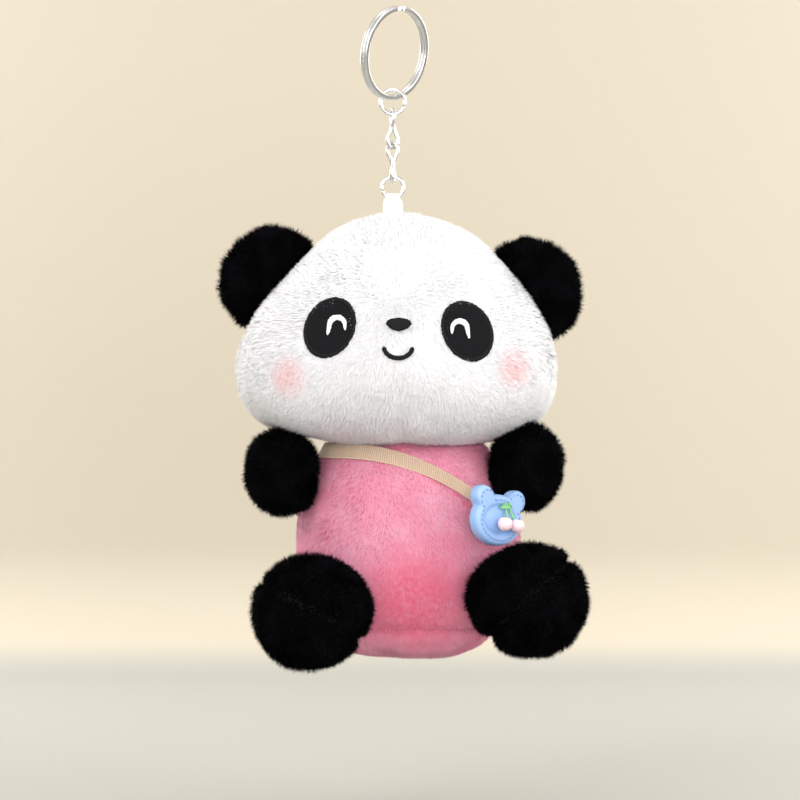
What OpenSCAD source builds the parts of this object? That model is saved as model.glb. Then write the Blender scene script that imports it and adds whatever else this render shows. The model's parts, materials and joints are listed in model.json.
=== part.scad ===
// Plush panda key charm: a split ring, a short chain of twisted links and a
// soft toy that hangs on it by a sewn ribbon loop, with a bag on a sash.
// Millimetres. Z is up and the panda faces -Y. The origin is the middle of the
// split ring's opening. Left and right are the panda's own, so left is +X.

/* [Split ring] */
// Outside diameter of the split ring
ring_od = 25.4; // [22:0.1:32]
// Width of the ring's flat wire, measured towards the middle
ring_band = 1.3; // [1:0.1:1.8]
// Thickness of each of the ring's two turns
ring_turn = 1.0; // [0.8:0.05:1.3]
// Slit between the two turns
ring_slit = 0.12; // [0.08:0.02:0.3]
// How far the ring is turned about its upright line, degrees
ring_heading = 48; // [20:1:60]
// How far the ring's top leans forward, degrees
ring_lean = 18; // [5:1:25]
// Distance along the ring from its lowest point to the chain
chain_slide = 2; // [0:0.1:2.4]

/* [Chain] */
// Wire thickness of the jump rings and the twisted links
chain_wire = 1.0; // [0.8:0.05:1.2]
// Outside diameter of the upper jump ring
upper_jump_od = 7.6; // [7:0.1:10]
// Length of a twisted link
link_l = 11.3; // [9:0.1:14]
// Width of a twisted link
link_w = 5.4; // [5:0.1:6.5]
// Turn of a twisted link from its top to its bottom, degrees
link_twist = 70; // [50:1:90]
// Outside diameter of the lower jump ring
lower_jump_od = 6.8; // [6.4:0.1:9]
// Play between one piece of the chain and the next
chain_play = 0.2; // [0.15:0.05:0.4]

/* [Hanging loop] */
// Width of the ribbon loop on top of the head
loop_w = 5.4; // [4:0.1:8]
// Thickness of the loop's ribbon
loop_t = 0.4; // [0.3:0.05:0.6]
// Height of the loop from the ring's wire down to the top of the head
loop_rise = 4.2; // [3.4:0.1:8]

/* [Head] */
// Width of the head
head_w = 84; // [70:1:101]
// Depth of the head from face to back
head_d = 62; // [52:1:75]
// Height of the head above its widest level
head_up = 43.6; // [37:0.2:54]
// Height of the head below its widest level
head_low = 18; // [15:0.2:22]
// Sideways tilt of the head, degrees
head_tilt = 1.5; // [0:0.5:3]
// Thickness of the plush cloth with its backing
cloth_t = 1.2; // [0.8:0.1:2]

/* [Ears] */
// Diameter of an ear
ear_w = 27.5; // [22:0.5:33]
// Thickness of an ear
ear_t = 12; // [8:0.5:16]
// Slope of the line from the middle of the head to an ear, degrees
ear_slope = 35.5; // [30:0.5:45]

/* [Face] */
// Distance between the middles of the eye patches
eye_gap = 35.6; // [30:0.2:42]
// Width of an eye patch across its long axis
patch_w = 12.6; // [9:0.2:15]
// Length of an eye patch
patch_l = 16; // [12:0.2:20]
// Slant of an eye patch, degrees
patch_slant = 27; // [10:1:40]
// Height of the eye patches above the head's widest level
eye_rise = 11.4; // [8:0.2:16]
// Thickness of the felt and the embroidery on the face
felt_t = 0.8; // [0.5:0.1:1.2]
// Width of the nose
nose_w = 6.4; // [5:0.1:8]
// Height of the nose
nose_h = 3.7; // [3:0.1:5]
// Width of the mouth
mouth_w = 7.2; // [6:0.1:10]

/* [Body] */
// Width of the body at its widest
body_w = 59; // [52:1:71]
// Depth of the body at its widest
body_d = 50; // [42:1:60]
// Height from the body's widest level up to the neck
body_up = 32; // [27:0.5:38.5]
// Height from the body's widest level down to the flat base
body_low = 24.6; // [20.4:0.2:29.6]
// Width of the neck opening
neck_w = 41; // [34:0.5:46]
// Height of the seam of the base panel above the base
base_rise = 6.4; // [5.2:0.2:9]
// Diameter of the flat underside, measured across the body
seat_w = 34; // [28:0.5:40]

/* [Arms and legs] */
// Length of an arm outwards from the body
arm_l = 18; // [15:0.2:21.6]
// Height of an arm
arm_h = 21.4; // [17.8:0.2:25.8]
// Thickness of an arm from front to back
arm_t = 16; // [13:0.2:19.2]
// Length of a leg outwards from the body
leg_l = 37; // [31:0.2:44.4]
// Diameter of a foot
leg_w = 27.4; // [22:0.2:34]
// Gap between a limb and the body at the sewn joint
limb_gap = 0.6; // [0.4:0.1:1]

/* [Bag and strap] */
// Width of the strap's ribbon
strap_w = 4; // [3:0.1:5]
// Thickness of the strap's ribbon
strap_t = 0.5; // [0.4:0.05:0.8]
// Slope of the strap across the chest, degrees
strap_slope = 17; // [14:0.5:19]
// Width of the bag
bag_w = 17; // [14:0.2:20]
// Height of the bag without its ears
bag_h = 13.6; // [11:0.2:16]
// Thickness of the bag
bag_t = 3.6; // [3:0.1:5]
// Diameter of a cherry on the bag
cherry_w = 4; // [3:0.1:4.6]

/* [Hidden] */
LEFT = 1;
RIGHT = -1;
metal = "silver";
white = "whitesmoke";
black = "#262424";
pink = "#e58aa6";
wadding = "ivory";

// Fine steps for round metal
$fn = 64;

// ---- small vector helpers ----
function turn_x(a, p) = [p.x, p.y * cos(a) - p.z * sin(a), p.y * sin(a) + p.z * cos(a)];
function turn_z(a, p) = [p.x * cos(a) - p.y * sin(a), p.x * sin(a) + p.y * cos(a), p.z];
function unit(v) = v / norm(v);
function flat(rows) = [for (row = rows) each row];

// ---- soft shapes ----
// A soft shape is [half width, half depth, height above, height below the
// widest level, roundness above, roundness below, roundness in plan]. A
// roundness of 2 is an ellipse and more is squarer.
function bow(c, n) = sign(c) * pow(abs(c), 2 / n);
function level(s, b) = b < 90 ? s[2] * bow(cos(b), s[4]) : s[3] * bow(cos(b), s[5]);
function girth(s, b) = bow(sin(b), b < 90 ? s[4] : s[5]);
function skin(s, b, a) = [
    s[0] * girth(s, b) * bow(cos(a), s[6]),
    s[1] * girth(s, b) * bow(sin(a), s[6]),
    level(s, b)
];
function thinner(s, t) = [s[0] - t, s[1] - t, s[2] - t, s[3] - t, s[4], s[5], s[6]];
// Girth at a height, as a share of the girth at the widest level
function girth_at(s, z) = let(
    n = z > 0 ? s[4] : s[5],
    share = min(abs(z) / (z > 0 ? s[2] : s[3]), 1)
) pow(1 - pow(share, n), 1 / n);
// Polar angle at which the girth has shrunk to a share, above or below
function polar_up(s, share) = asin(pow(share, s[4] / 2));
function polar_low(s, share) = 180 - asin(pow(share, s[5] / 2));
// Depth of the front at a place on the shape's face
function front_y(s, x, z) = let(
    g = girth_at(s, z),
    share = min(abs(x) / (s[0] * g), 1)
) -s[1] * g * pow(1 - pow(share, s[6]), 1 / s[6]);
// Distance from the upright line to the skin in a plan direction
function reach_at(s, z, a) = let(g = girth_at(s, z)) g / pow(
    pow(abs(cos(a)) / s[0], s[6]) + pow(abs(sin(a)) / s[1], s[6]), 1 / s[6]);

// ---- solids from rows of points ----
// Faces of a grid of r rows and c columns, joined round when wrapped
function sheet(r, c, wrapped, base, flip) = [
    for (i = [0 : r - 2]) for (j = [0 : (wrapped ? c - 1 : c - 2)]) let(
        k = (j + 1) % c,
        tl = base + i * c + j,
        tr = base + i * c + k,
        br = base + (i + 1) * c + k,
        bl = base + (i + 1) * c + j
    ) each flip ? [[tl, br, tr], [tl, bl, br]] : [[tl, tr, br], [tl, br, bl]]
];
function strip(p, q) = [
    for (i = [0 : len(p) - 2]) each [[p[i], p[i + 1], q[i + 1]], [p[i], q[i + 1], q[i]]]
];

// A solid lofted through rings of points, with a flat cap on each end
module loft(rows) {
    c = len(rows[0]);
    r = len(rows);
    polyhedron(flat(rows), concat(
        sheet(r, c, true, 0, false),
        [[for (j = [c - 1 : -1 : 0]) j]],
        [[for (j = [0 : c - 1]) (r - 1) * c + j]]));
}

// A closed tube whose last ring of points joins its first
module hoop(rows) {
    c = len(rows[0]);
    polyhedron(flat(rows), sheet_round(len(rows), c));
}
function sheet_round(r, c) = [
    for (i = [0 : r - 1]) for (j = [0 : c - 1]) let(
        n = (i + 1) % r,
        k = (j + 1) % c
    ) each [[i * c + j, i * c + k, n * c + k], [i * c + j, n * c + k, n * c + j]]
];

// A piece of cloth between an outer and an inner grid of points
module cloth(outer, inner) {
    r = len(outer);
    c = len(outer[0]);
    n = r * c;
    top = [for (j = [0 : c - 1]) j];
    foot = [for (j = [0 : c - 1]) (r - 1) * c + j];
    near = [for (i = [0 : r - 1]) i * c];
    far = [for (i = [0 : r - 1]) i * c + c - 1];
    back = function(v) [for (k = [len(v) - 1 : -1 : 0]) v[k]];
    into = function(v) [for (k = v) k + n];
    polyhedron(concat(flat(outer), flat(inner)), concat(
        sheet(r, c, false, 0, false),
        sheet(r, c, false, n, true),
        strip(back(top), into(back(top))),
        strip(foot, into(foot)),
        strip(near, into(near)),
        strip(back(far), into(back(far)))));
}

// A panel of a soft shape from plan angle a0 to a1 and polar angle b0 to b1
module panel(s, t, a0, a1, b0, b1, c, r) {
    angles = [for (j = [0 : c]) a0 + (a1 - a0) * j / c];
    polars = [for (i = [0 : r]) b0 + (b1 - b0) * i / r];
    cloth(
        [for (b = polars) [for (a = angles) skin(s, b, a)]],
        [for (b = polars) [for (a = angles) skin(thinner(s, t), b, a)]]);
}

// The solid filling of a soft shape, flat where the skin is open
module filling(s, b0, b1, c, r) {
    loft([for (i = [0 : r]) [for (j = [0 : c - 1])
        skin(s, b0 + (b1 - b0) * i / r, 360 * j / c)]]);
}

// Turn a piece drawn along +Z so that it points along a direction
module aim(v) {
    rotate([0, acos(v.z / norm(v)), atan2(v.y, v.x)]) children();
}

// ---- split ring and the place where the chain hangs ----
seam_gap = 0.2;
fill_gap = 0.6;
facet_room = 0.9;
ring_r = (ring_od - ring_band) / 2;
ring_half = ring_turn + ring_slit / 2;
ring_reach = norm([ring_band / 2, ring_half]);
function ring_point(p) = turn_x(ring_lean, turn_z(ring_heading, turn_x(90, p)));
lowest = 180 + atan2(cos(ring_lean), sin(ring_heading) * sin(ring_lean));
// Angle round the ring at which the chain rests
chain_at = lowest + chain_slide / ring_r * 180 / PI;
hang = ring_point([ring_r * cos(chain_at), ring_r * sin(chain_at), 0]);
crossover = 30;
crossover_at = 60;
wire_end = 3;

module split_ring() {
    color(metal) rotate([ring_lean, 0, 0]) rotate([90, 0, ring_heading]) difference() {
        rotate_extrude($fn = 96)
            translate([ring_r - ring_band / 2, -ring_half])
            square([ring_band, 2 * ring_half]);
        rotate([0, 0, crossover_at + crossover])
            rotate_extrude(angle = 360 - crossover, $fn = 96)
            translate([ring_r - ring_band, -ring_slit / 2])
            square([2 * ring_band, ring_slit]);
        rotate([0, 0, crossover_at + crossover + wire_end])
            translate([ring_r - ring_band, 0, -ring_half - 1])
            cube([2 * ring_band, 2 * ring_slit, ring_half + 1]);
        rotate([0, 0, crossover_at - wire_end])
            translate([ring_r - ring_band, -2 * ring_slit, 0])
            cube([2 * ring_band, 2 * ring_slit, ring_half + 1]);
    }
}

// ---- chain ----
upper_jump_r = (upper_jump_od - chain_wire) / 2;
lower_jump_r = (lower_jump_od - chain_wire) / 2;
link_half = (link_l - chain_wire) / 2;
link_side = (link_w - chain_wire) / 2;
link_step = chain_wire + chain_play;
band_room = 0.1;
upper_jump_z = hang.z + ring_reach + chain_play + band_room - upper_jump_r + chain_wire / 2;
upper_pin_z = upper_jump_z - upper_jump_r;
upper_link_z = upper_pin_z + link_step - link_half;
middle_pin_z = upper_link_z - link_half;
lower_link_z = middle_pin_z + link_step - link_half;
lower_pin_z = lower_link_z - link_half;
lower_jump_z = lower_pin_z + link_step - lower_jump_r;
loop_pin_z = lower_jump_z - lower_jump_r;
wire_sides = 10;
link_rings = 48;
jump_slit = 0.15;

// A round wire ring that faces the front, with the slit where it was closed
module jump_ring(r, slit_at) {
    rotate([90, 0, 0]) difference() {
        rotate_extrude() translate([r, 0]) circle(d = chain_wire, $fn = 32);
        rotate([0, 0, slit_at])
            translate([r - chain_wire, -jump_slit / 2, -chain_wire])
            cube([2 * chain_wire, jump_slit, 2 * chain_wire]);
    }
}

module upper_jump_ring() {
    color(metal) translate([hang.x, hang.y, upper_jump_z]) jump_ring(upper_jump_r, 20);
}

module lower_jump_ring() {
    color(metal) translate([hang.x, hang.y, lower_jump_z]) jump_ring(lower_jump_r, 165);
}

// How far the two links' hooked ends are turned out of the view's plane
link_lie = 35;
// How far a link is drawn in at its middle, so that its two ends are round eyes
link_pinch = 0.6;
// Direction of a link's plane at a height: nearly all of the twist is at its middle
function link_turn(top_angle, turn, z) =
    top_angle + turn * (1 - sin(90 * sin(90 * z / link_half))) / 2;

// Middle of a twisted link's wire
function link_way(top_angle, turn) = [for (i = [0 : link_rings - 1]) let(
    t = 360 * i / link_rings,
    z = link_half * bow(sin(t), 2.3),
    out = link_side * bow(cos(t), 2.3) * (1 - link_pinch * pow(cos(90 * z / link_half), 4)),
    a = link_turn(top_angle, turn, z)
) [out * cos(a), out * sin(a), z]];

module twisted_link(top_angle, turn) {
    way = link_way(top_angle, turn);
    n = link_rings;
    hoop([for (i = [0 : n - 1]) let(
        ahead = unit(way[(i + 1) % n] - way[(i + n - 1) % n]),
        a = link_turn(top_angle, turn, way[i].z),
        side = unit(cross(ahead, [-sin(a), cos(a), 0])),
        face = cross(side, ahead)
    ) [for (k = [0 : wire_sides - 1]) let(w = 360 * k / wire_sides)
        way[i] + chain_wire / 2 * (cos(w) * side + sin(w) * face)]]);
}

module upper_link() {
    color(metal) translate([hang.x, hang.y, upper_link_z])
        twisted_link(link_lie + link_twist, -link_twist);
}

module lower_link() {
    color(metal) translate([hang.x, hang.y, lower_link_z])
        twisted_link(-link_lie, -link_twist);
}

// ---- hanging loop ----
loop_in = chain_wire / 2 + chain_play + 0.3;
loop_pinch = 2.6;
loop_tail = 2;
loop_foot = loop_rise + loop_tail;

module hanging_loop() {
    color(white) translate([hang.x, hang.y, loop_pin_z]) intersection() {
        rotate([90, 0, 90]) linear_extrude(loop_w, center = true) {
            difference() {
                circle(loop_in + loop_t);
                circle(loop_in);
                translate([-loop_w, -loop_w]) square([2 * loop_w, loop_w]);
            }
            for (side = [-1, 1]) scale([side, 1]) polygon([
                [loop_in, 0], [loop_in + loop_t, 0],
                [loop_t + 0.05, -loop_rise], [loop_t + 0.05, -loop_foot],
                [0.05, -loop_foot], [0.05, -loop_rise]]);
        }
        rotate([90, 0, 0]) linear_extrude(4 * loop_w, center = true) polygon([
            [-loop_pinch / 2, loop_w], [-loop_pinch / 2, 0.1],
            [-loop_w / 2, -0.7], [-loop_w / 2, -loop_foot - 1],
            [loop_w / 2, -loop_foot - 1], [loop_w / 2, -0.7],
            [loop_pinch / 2, 0.1], [loop_pinch / 2, loop_w]]);
    }
}

// ---- head ----
head_shape = [head_w / 2, head_d / 2, head_up, head_low, 1.85, 2.7, 2.3];
head_shift = 1;
head_x = hang.x + head_shift;
head_y = hang.y + 0.6;
head_z = loop_pin_z - loop_rise - head_up;
crown_shift = head_shift + head_up * sin(head_tilt);
crown_share = (loop_w / 2 + crown_shift + 0.8) / (head_w / 2);
neck_share = neck_w / head_w;
head_open = polar_up(head_shape, crown_share);
head_foot = polar_low(head_shape, neck_share);
fill_shape = thinner(head_shape, cloth_t + fill_gap);

module in_head() {
    translate([head_x, head_y, head_z]) rotate([0, head_tilt, 0]) children();
}

module face_panel() {
    color(white) in_head() panel(head_shape, cloth_t, 182, 358, head_open, head_foot, 18, 12);
}

module head_back_left() {
    color(white) in_head() panel(head_shape, cloth_t, -1, 89.6, head_open, head_foot, 9, 12);
}

module head_back_right() {
    color(white) in_head() panel(head_shape, cloth_t, 90.4, 181, head_open, head_foot, 9, 12);
}

module head_stuffing() {
    color(wadding) in_head() filling(fill_shape, head_open + 8, head_foot, 24, 10);
}

// ---- ears ----
ear_out = head_w / 2;
ear_r = ear_w / 2;
ear_core = 2.4;
ear_y = 2.5;
// How much steeper than the slope the right and the left ear sit, degrees
ear_droop = [0.3, -1.8];
// Middle of an ear in the head's own frame
function ear_place(side) = let(slope = ear_slope + ear_droop[side > 0 ? 1 : 0]) [
    side * ear_out * cos(slope), ear_y, ear_out * sin(slope)];

// An ear is a round pad, hollowed on the head's side to the head's own shape
module ear_piece(side, t, y0, y1) {
    in_head() difference() {
        translate(ear_place(side)) rotate([90, 0, 0]) intersection() {
            scale([1, 1, t / ear_w]) sphere(ear_r);
            translate([0, 0, (y0 + y1) / -2]) cube([2 * ear_w, 2 * ear_w, y1 - y0], center = true);
        }
        filling(thinner(head_shape, -facet_room), 8, 172, 24, 12);
    }
}

module left_ear_front() { color(black) ear_piece(LEFT, ear_t, -ear_t, -ear_core / 2); }
module left_ear_back() { color(black) ear_piece(LEFT, ear_t, ear_core / 2, ear_t); }
module right_ear_front() { color(black) ear_piece(RIGHT, ear_t, -ear_t, -ear_core / 2); }
module right_ear_back() { color(black) ear_piece(RIGHT, ear_t, ear_core / 2, ear_t); }

// The flat wadding between an ear's two panels
module ear_stuffing(side) {
    color(wadding) in_head() difference() {
        translate(ear_place(side)) rotate([90, 0, 0])
            cylinder(r = ear_r - cloth_t, h = ear_core - seam_gap, center = true);
        filling(thinner(head_shape, -facet_room), 8, 172, 24, 12);
    }
}
module left_ear_stuffing() { ear_stuffing(LEFT); }
module right_ear_stuffing() { ear_stuffing(RIGHT); }

// ---- face ----
patch_points = 24;
hub = 0.06;
// A point on the face, lifted off the cloth
function on_face(x, z, lift) = [x, front_y(head_shape, x, z) - lift, z];

// A felt piece laid on the face: an oval at (x, z), slanted by a
module felt_oval(x, z, w, h, a, lift) {
    function edge(k, up) = [for (j = [0 : patch_points - 1]) let(
        t = 360 * j / patch_points,
        u = k * w / 2 * cos(t),
        v = k * h / 2 * sin(t)
    ) on_face(x + u * cos(a) - v * sin(a), z + u * sin(a) + v * cos(a), up)];
    loft(concat(
        [for (k = [hub, 0.4, 0.7, 0.93]) edge(k, lift + felt_t)],
        [edge(1, lift + felt_t * 0.55), edge(1, lift)],
        [for (k = [0.7, 0.4, hub]) edge(k, lift)]));
}

// A satin-stitched line along points on the face
module stitched_line(points, w, lift) {
    n = len(points) - 1;
    function across(i) = let(
        d = points[min(i + 1, n)] - points[max(i - 1, 0)]
    ) [-d.y, d.x] / norm(d);
    function row(i, up) = [for (s = [-0.5, 0, 0.5]) let(
        p = points[i] + across(i) * w * s
    ) on_face(p.x, p.y, up - abs(s) * felt_t * 0.6)];
    cloth(
        [for (i = [0 : n]) row(i, lift + felt_t)],
        [for (i = [0 : n]) [for (s = [-0.5, 0, 0.5]) let(
            p = points[i] + across(i) * w * s) on_face(p.x, p.y, lift)]]);
}

eye_mid = 0.3;
line_w = 1.1;
arc_w = 1.3;
arc_r = 2.1;
arc_in = 1.8;
arc_up = 0.2;
nose_z = eye_rise + 1;
mouth_z = nose_z - 5.4;
mouth_deep = 2.6;

module left_eye_patch() {
    color(black) in_head()
        felt_oval(eye_mid + eye_gap / 2, eye_rise, patch_w, patch_l, patch_slant, 0.05);
}
module right_eye_patch() {
    color(black) in_head()
        felt_oval(eye_mid - eye_gap / 2, eye_rise, patch_w, patch_l, -patch_slant, 0.05);
}

// A closed smiling eye: an arch with a longer outer leg
module eye_arc(side) {
    outer = 2.3;
    inner = 0.6;
    bend = [for (a = [0 : 20 : 180]) [-arc_r * cos(a), arc_r * sin(a)]];
    legs = concat([[-arc_r - 0.1, -inner]], bend, [[arc_r + 0.2, -outer * 0.5], [arc_r + 0.4, -outer]]);
    points = [for (p = legs) [
        eye_mid + side * (eye_gap / 2 - arc_in + p.x), eye_rise + arc_up + p.y]];
    way = side > 0 ? [for (i = [len(points) - 1 : -1 : 0]) points[i]] : points;
    color(white) in_head() stitched_line(way, arc_w, felt_t + 0.1);
}
module left_eye_arc() { eye_arc(LEFT); }
module right_eye_arc() { eye_arc(RIGHT); }

module nose() {
    color(black) in_head() felt_oval(eye_mid, nose_z, nose_w, nose_h, 0, 0.05);
}

// A smile: half an ellipse that is open at the top
module mouth() {
    color(black) in_head() stitched_line(
        [for (a = [180 : 18 : 360]) [
            eye_mid + mouth_w / 2 * cos(a), mouth_z + mouth_deep * sin(a)]],
        line_w, 0.05);
}

// ---- body ----
neck_z = head_z + level(head_shape, head_foot) - seam_gap - head_w / 4 * sin(head_tilt);
neck_grip = pow(1 - pow(neck_w / body_w, 2), 1 / 2);
seat_grip = pow(1 - pow(seat_w / body_w, 2.6), 1 / 2.6);
body_shape = [
    body_w / 2, body_d / 2, body_up / neck_grip, body_low / seat_grip, 2, 2.6, 2.2];
body_x = head_x + 2.4;
body_y = hang.y + 4.4;
body_z = neck_z - body_up;
body_open = polar_up(body_shape, neck_w / body_w);
body_foot = polar_low(body_shape, seat_w / body_w);
base_share = girth_at(body_shape, -(body_low - base_rise));
base_open = polar_low(body_shape, base_share);
body_fill = thinner(body_shape, cloth_t + fill_gap);

module in_body() {
    translate([body_x, body_y, body_z]) children();
}

module body_front() {
    color(pink) in_body()
        panel(body_shape, cloth_t, 180.5, 359.5, body_open, base_open - 0.6, 18, 10);
}

module body_back() {
    color(pink) in_body()
        panel(body_shape, cloth_t, 0.5, 179.5, body_open, base_open - 0.6, 18, 10);
}

// The base panel turns under at its seam and is flat where the toy sits
module base_panel() {
    color(pink) in_body() difference() {
        filling(body_shape, base_open, body_foot, 36, 4);
        filling(thinner(body_shape, cloth_t), base_open - 4, body_foot, 36, 5);
    }
}

module body_stuffing() {
    color(wadding) in_body() filling(body_fill, body_open, body_foot, 24, 10);
}

// ---- arms ----
// Plan direction and height at which a limb leaves the body
arm_turn = 22;
arm_drop = 8.5;
arm_room = 1;
broad_body = 9;
// An arm stands further off a body that is broad for its depth
arm_gap = limb_gap + arm_room + max(0, body_w - body_d - broad_body) / 10;
arm_shape = [arm_t / 2, arm_h / 2, arm_l / 2, arm_l / 2, 2.1, 2.1, 2.1];
arm_fill = thinner(arm_shape, cloth_t + fill_gap);
arm_level = body_up - arm_drop;
arm_lift = 1.5;
usual_head = 84;
head_spare = 12;
// The left arm sits higher, less so under a wider head
left_arm_rise = arm_lift * max(0, 1 - max(0, head_w - usual_head) / head_spare);
function arm_z(side) = arm_level + (side > 0 ? left_arm_rise : 0);
function out_dir(side, turn) = [side * cos(turn), -sin(turn), 0];
// Middle of a limb that stands off the body's skin by the gap
function limb_mid(side, turn, z, gap, half) =
    [body_x, body_y, body_z + z]
    + out_dir(side, turn) * (reach_at(body_shape, z, turn) + gap + half);

// An arm lies with its length outwards, its inner end against the body
module in_arm(side) {
    translate(limb_mid(side, arm_turn, arm_z(side), arm_gap, arm_l / 2))
        rotate([0, 0, -side * arm_turn])
        rotate([0, side * 90, 0])
        rotate([0, 0, 90]) children();
}

module arm_panel(side, a0, a1) {
    color(black) in_arm(side) panel(arm_shape, cloth_t, a0, a1, 2, 178, 10, 12);
}
module left_arm_outer() { arm_panel(LEFT, 182, 358); }
module left_arm_inner() { arm_panel(LEFT, 2, 178); }
module right_arm_outer() { arm_panel(RIGHT, 2, 178); }
module right_arm_inner() { arm_panel(RIGHT, 182, 358); }
module left_arm_stuffing() { color(wadding) in_arm(LEFT) filling(arm_fill, 12, 168, 16, 8); }
module right_arm_stuffing() { color(wadding) in_arm(RIGHT) filling(arm_fill, 12, 168, 16, 8); }

// ---- legs ----
leg_turn_left = 48.6;
leg_turn_right = 59.3;
left_leg_drop = 9.3;
right_leg_drop = 11.9;
leg_reach = leg_l - leg_w / 2;
leg_shape = [leg_w / 2, leg_w / 2, leg_w / 2, leg_reach, 2.1, 1.7, 2];
leg_fill = thinner(leg_shape, cloth_t + fill_gap);

// A leg lies with its length outwards and forwards, its sole end outermost
module in_leg(side) {
    turn = side > 0 ? leg_turn_left : leg_turn_right;
    drop = side > 0 ? left_leg_drop : right_leg_drop;
    translate(limb_mid(side, turn, -drop, limb_gap, leg_reach))
        aim(out_dir(side, turn)) children();
}

module leg_panel(side, a0, a1) {
    color(black) in_leg(side) panel(leg_shape, cloth_t, a0, a1, 1.5, 178.5, 14, 14);
}
module left_leg_upper() { leg_panel(LEFT, 91, 269); }
module left_leg_under() { leg_panel(LEFT, 271, 449); }
module right_leg_upper() { leg_panel(RIGHT, 91, 269); }
module right_leg_under() { leg_panel(RIGHT, 271, 449); }
module left_leg_stuffing() { color(wadding) in_leg(LEFT) filling(leg_fill, 10, 170, 20, 10); }
module right_leg_stuffing() { color(wadding) in_leg(RIGHT) filling(leg_fill, 10, 170, 20, 10); }

// ---- strap ----
strap_gap = 0.4;
strap_steps = 72;
strap_drop = 2.8;
strap_start = -16;
strap_run = 30.3;
bag_side = -49.5;
bag_lift = 7.2;
bag_spread = 12;
// Height of the strap's middle at a distance across the body: level on the
// right shoulder, then falling more and more steeply to the left hip
function strap_z(x) = body_up - strap_drop
    - tan(strap_slope) / strap_run * pow(max(0, x - strap_start), 2);
// How far the strap stands off the skin: further where the bag hangs on it
function strap_off(a) = strap_gap + bag_lift * exp(-pow((a - bag_side) / bag_spread, 2));
// Plan place on the strap's inner face, settled by a few passes
function strap_spot(a, off, passes, z) = let(
    r = reach_at(body_shape, z, a) + off,
    next = strap_z(r * cos(a))
) passes == 0 ? [r * cos(a), r * sin(a), next] : strap_spot(a, off, passes - 1, next);

function strap_ring(a) = let(
    mid = strap_spot(a, strap_off(a), 6, body_up / 2),
    out = [cos(a), sin(a), 0],
    rise = strap_w / 2,
    lean = reach_at(body_shape, mid.z - rise, a) - reach_at(body_shape, mid.z + rise, a),
    low = mid + [0, 0, -rise] + out * lean / 2,
    high = mid + [0, 0, rise] - out * lean / 2
) [low, low + out * strap_t, high + out * strap_t, high];

module bag_strap() {
    color("tan") in_body() hoop([for (i = [0 : strap_steps - 1])
        strap_ring(-180 + 360 * i / strap_steps)]);
}

// ---- bag ----
bag_face_t = 0.8;
bag_rim = 1.5;
bag_ear = 2.9;
bag_yaw = 43;
bag_roll = 8.5;
bag_at = strap_spot(bag_side, strap_off(bag_side), 6, body_up / 2);
bag_centre = bag_at
    + [cos(bag_side), sin(bag_side), 0] * (strap_t + 0.8)
    + [0, 0, -bag_h / 2 + 3.2];

module in_bag() {
    in_body() translate(bag_centre) rotate([0, bag_roll, bag_yaw]) rotate([90, 0, 0]) children();
}

// Outline of a bear's head with two ears, seen from the front
module bag_outline(shrink) {
    scale([bag_w / 2 - shrink, bag_h / 2 - shrink]) circle(1);
    for (side = [-1, 1])
        translate([side * bag_w * 0.36, bag_h * 0.42]) circle(bag_ear - shrink);
}

module bag_shell() {
    color("lightblue") in_bag() difference() {
        linear_extrude(bag_t) bag_outline(0);
        translate([0, 0, bag_t - bag_face_t]) linear_extrude(bag_t)
            scale([bag_w / 2 - bag_rim, bag_h / 2 - bag_rim]) circle(1);
    }
}

module bag_face() {
    color("lightskyblue") in_bag() translate([0, 0, bag_t - bag_face_t + 0.05])
        linear_extrude(bag_face_t - 0.3)
        scale([bag_w / 2 - bag_rim - 0.1, bag_h / 2 - bag_rim - 0.1]) circle(1);
}

cherry_gap = 4.6;
cherry_side = 2.2;
cherry_drop = 0.9;
stem_w = 0.7;
stem_top = 3.2;
cherry_z = bag_t + cherry_w / 2 - 0.15;

module bag_cherries() {
    color("mistyrose") in_bag() for (side = [-1, 1])
        translate([cherry_side + side * cherry_gap / 2, -cherry_drop, cherry_z])
        sphere(d = cherry_w);
}

// Two stems that meet under a leaf, lying on the bag's face
module bag_stem() {
    color("olivedrab") in_bag() {
        for (side = [-1, 1]) hull() {
            translate([cherry_side, stem_top, bag_t + 0.4]) sphere(d = stem_w, $fn = 16);
            translate([cherry_side + side * cherry_gap * 0.36, cherry_w / 2 - cherry_drop + 0.3, cherry_z])
                sphere(d = stem_w, $fn = 16);
        }
        translate([cherry_side - 1.9, stem_top + 0.3, bag_t + 0.4]) rotate([0, 0, -12])
            scale([2.1, 1.1, 0.4]) sphere(1, $fn = 24);
    }
}

split_ring();
upper_jump_ring();
upper_link();
lower_link();
lower_jump_ring();
hanging_loop();
face_panel();
head_back_left();
head_back_right();
head_stuffing();
left_ear_front();
left_ear_back();
left_ear_stuffing();
right_ear_front();
right_ear_back();
right_ear_stuffing();
left_eye_patch();
right_eye_patch();
left_eye_arc();
right_eye_arc();
nose();
mouth();
body_front();
body_back();
base_panel();
body_stuffing();
left_arm_outer();
left_arm_inner();
left_arm_stuffing();
right_arm_outer();
right_arm_inner();
right_arm_stuffing();
left_leg_upper();
left_leg_under();
left_leg_stuffing();
right_leg_upper();
right_leg_under();
right_leg_stuffing();
bag_strap();
bag_shell();
bag_face();
bag_cherries();
bag_stem();
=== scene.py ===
import json
import math

import bmesh
import bpy
import numpy as np
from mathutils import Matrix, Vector
from mathutils.bvhtree import BVHTree


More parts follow.
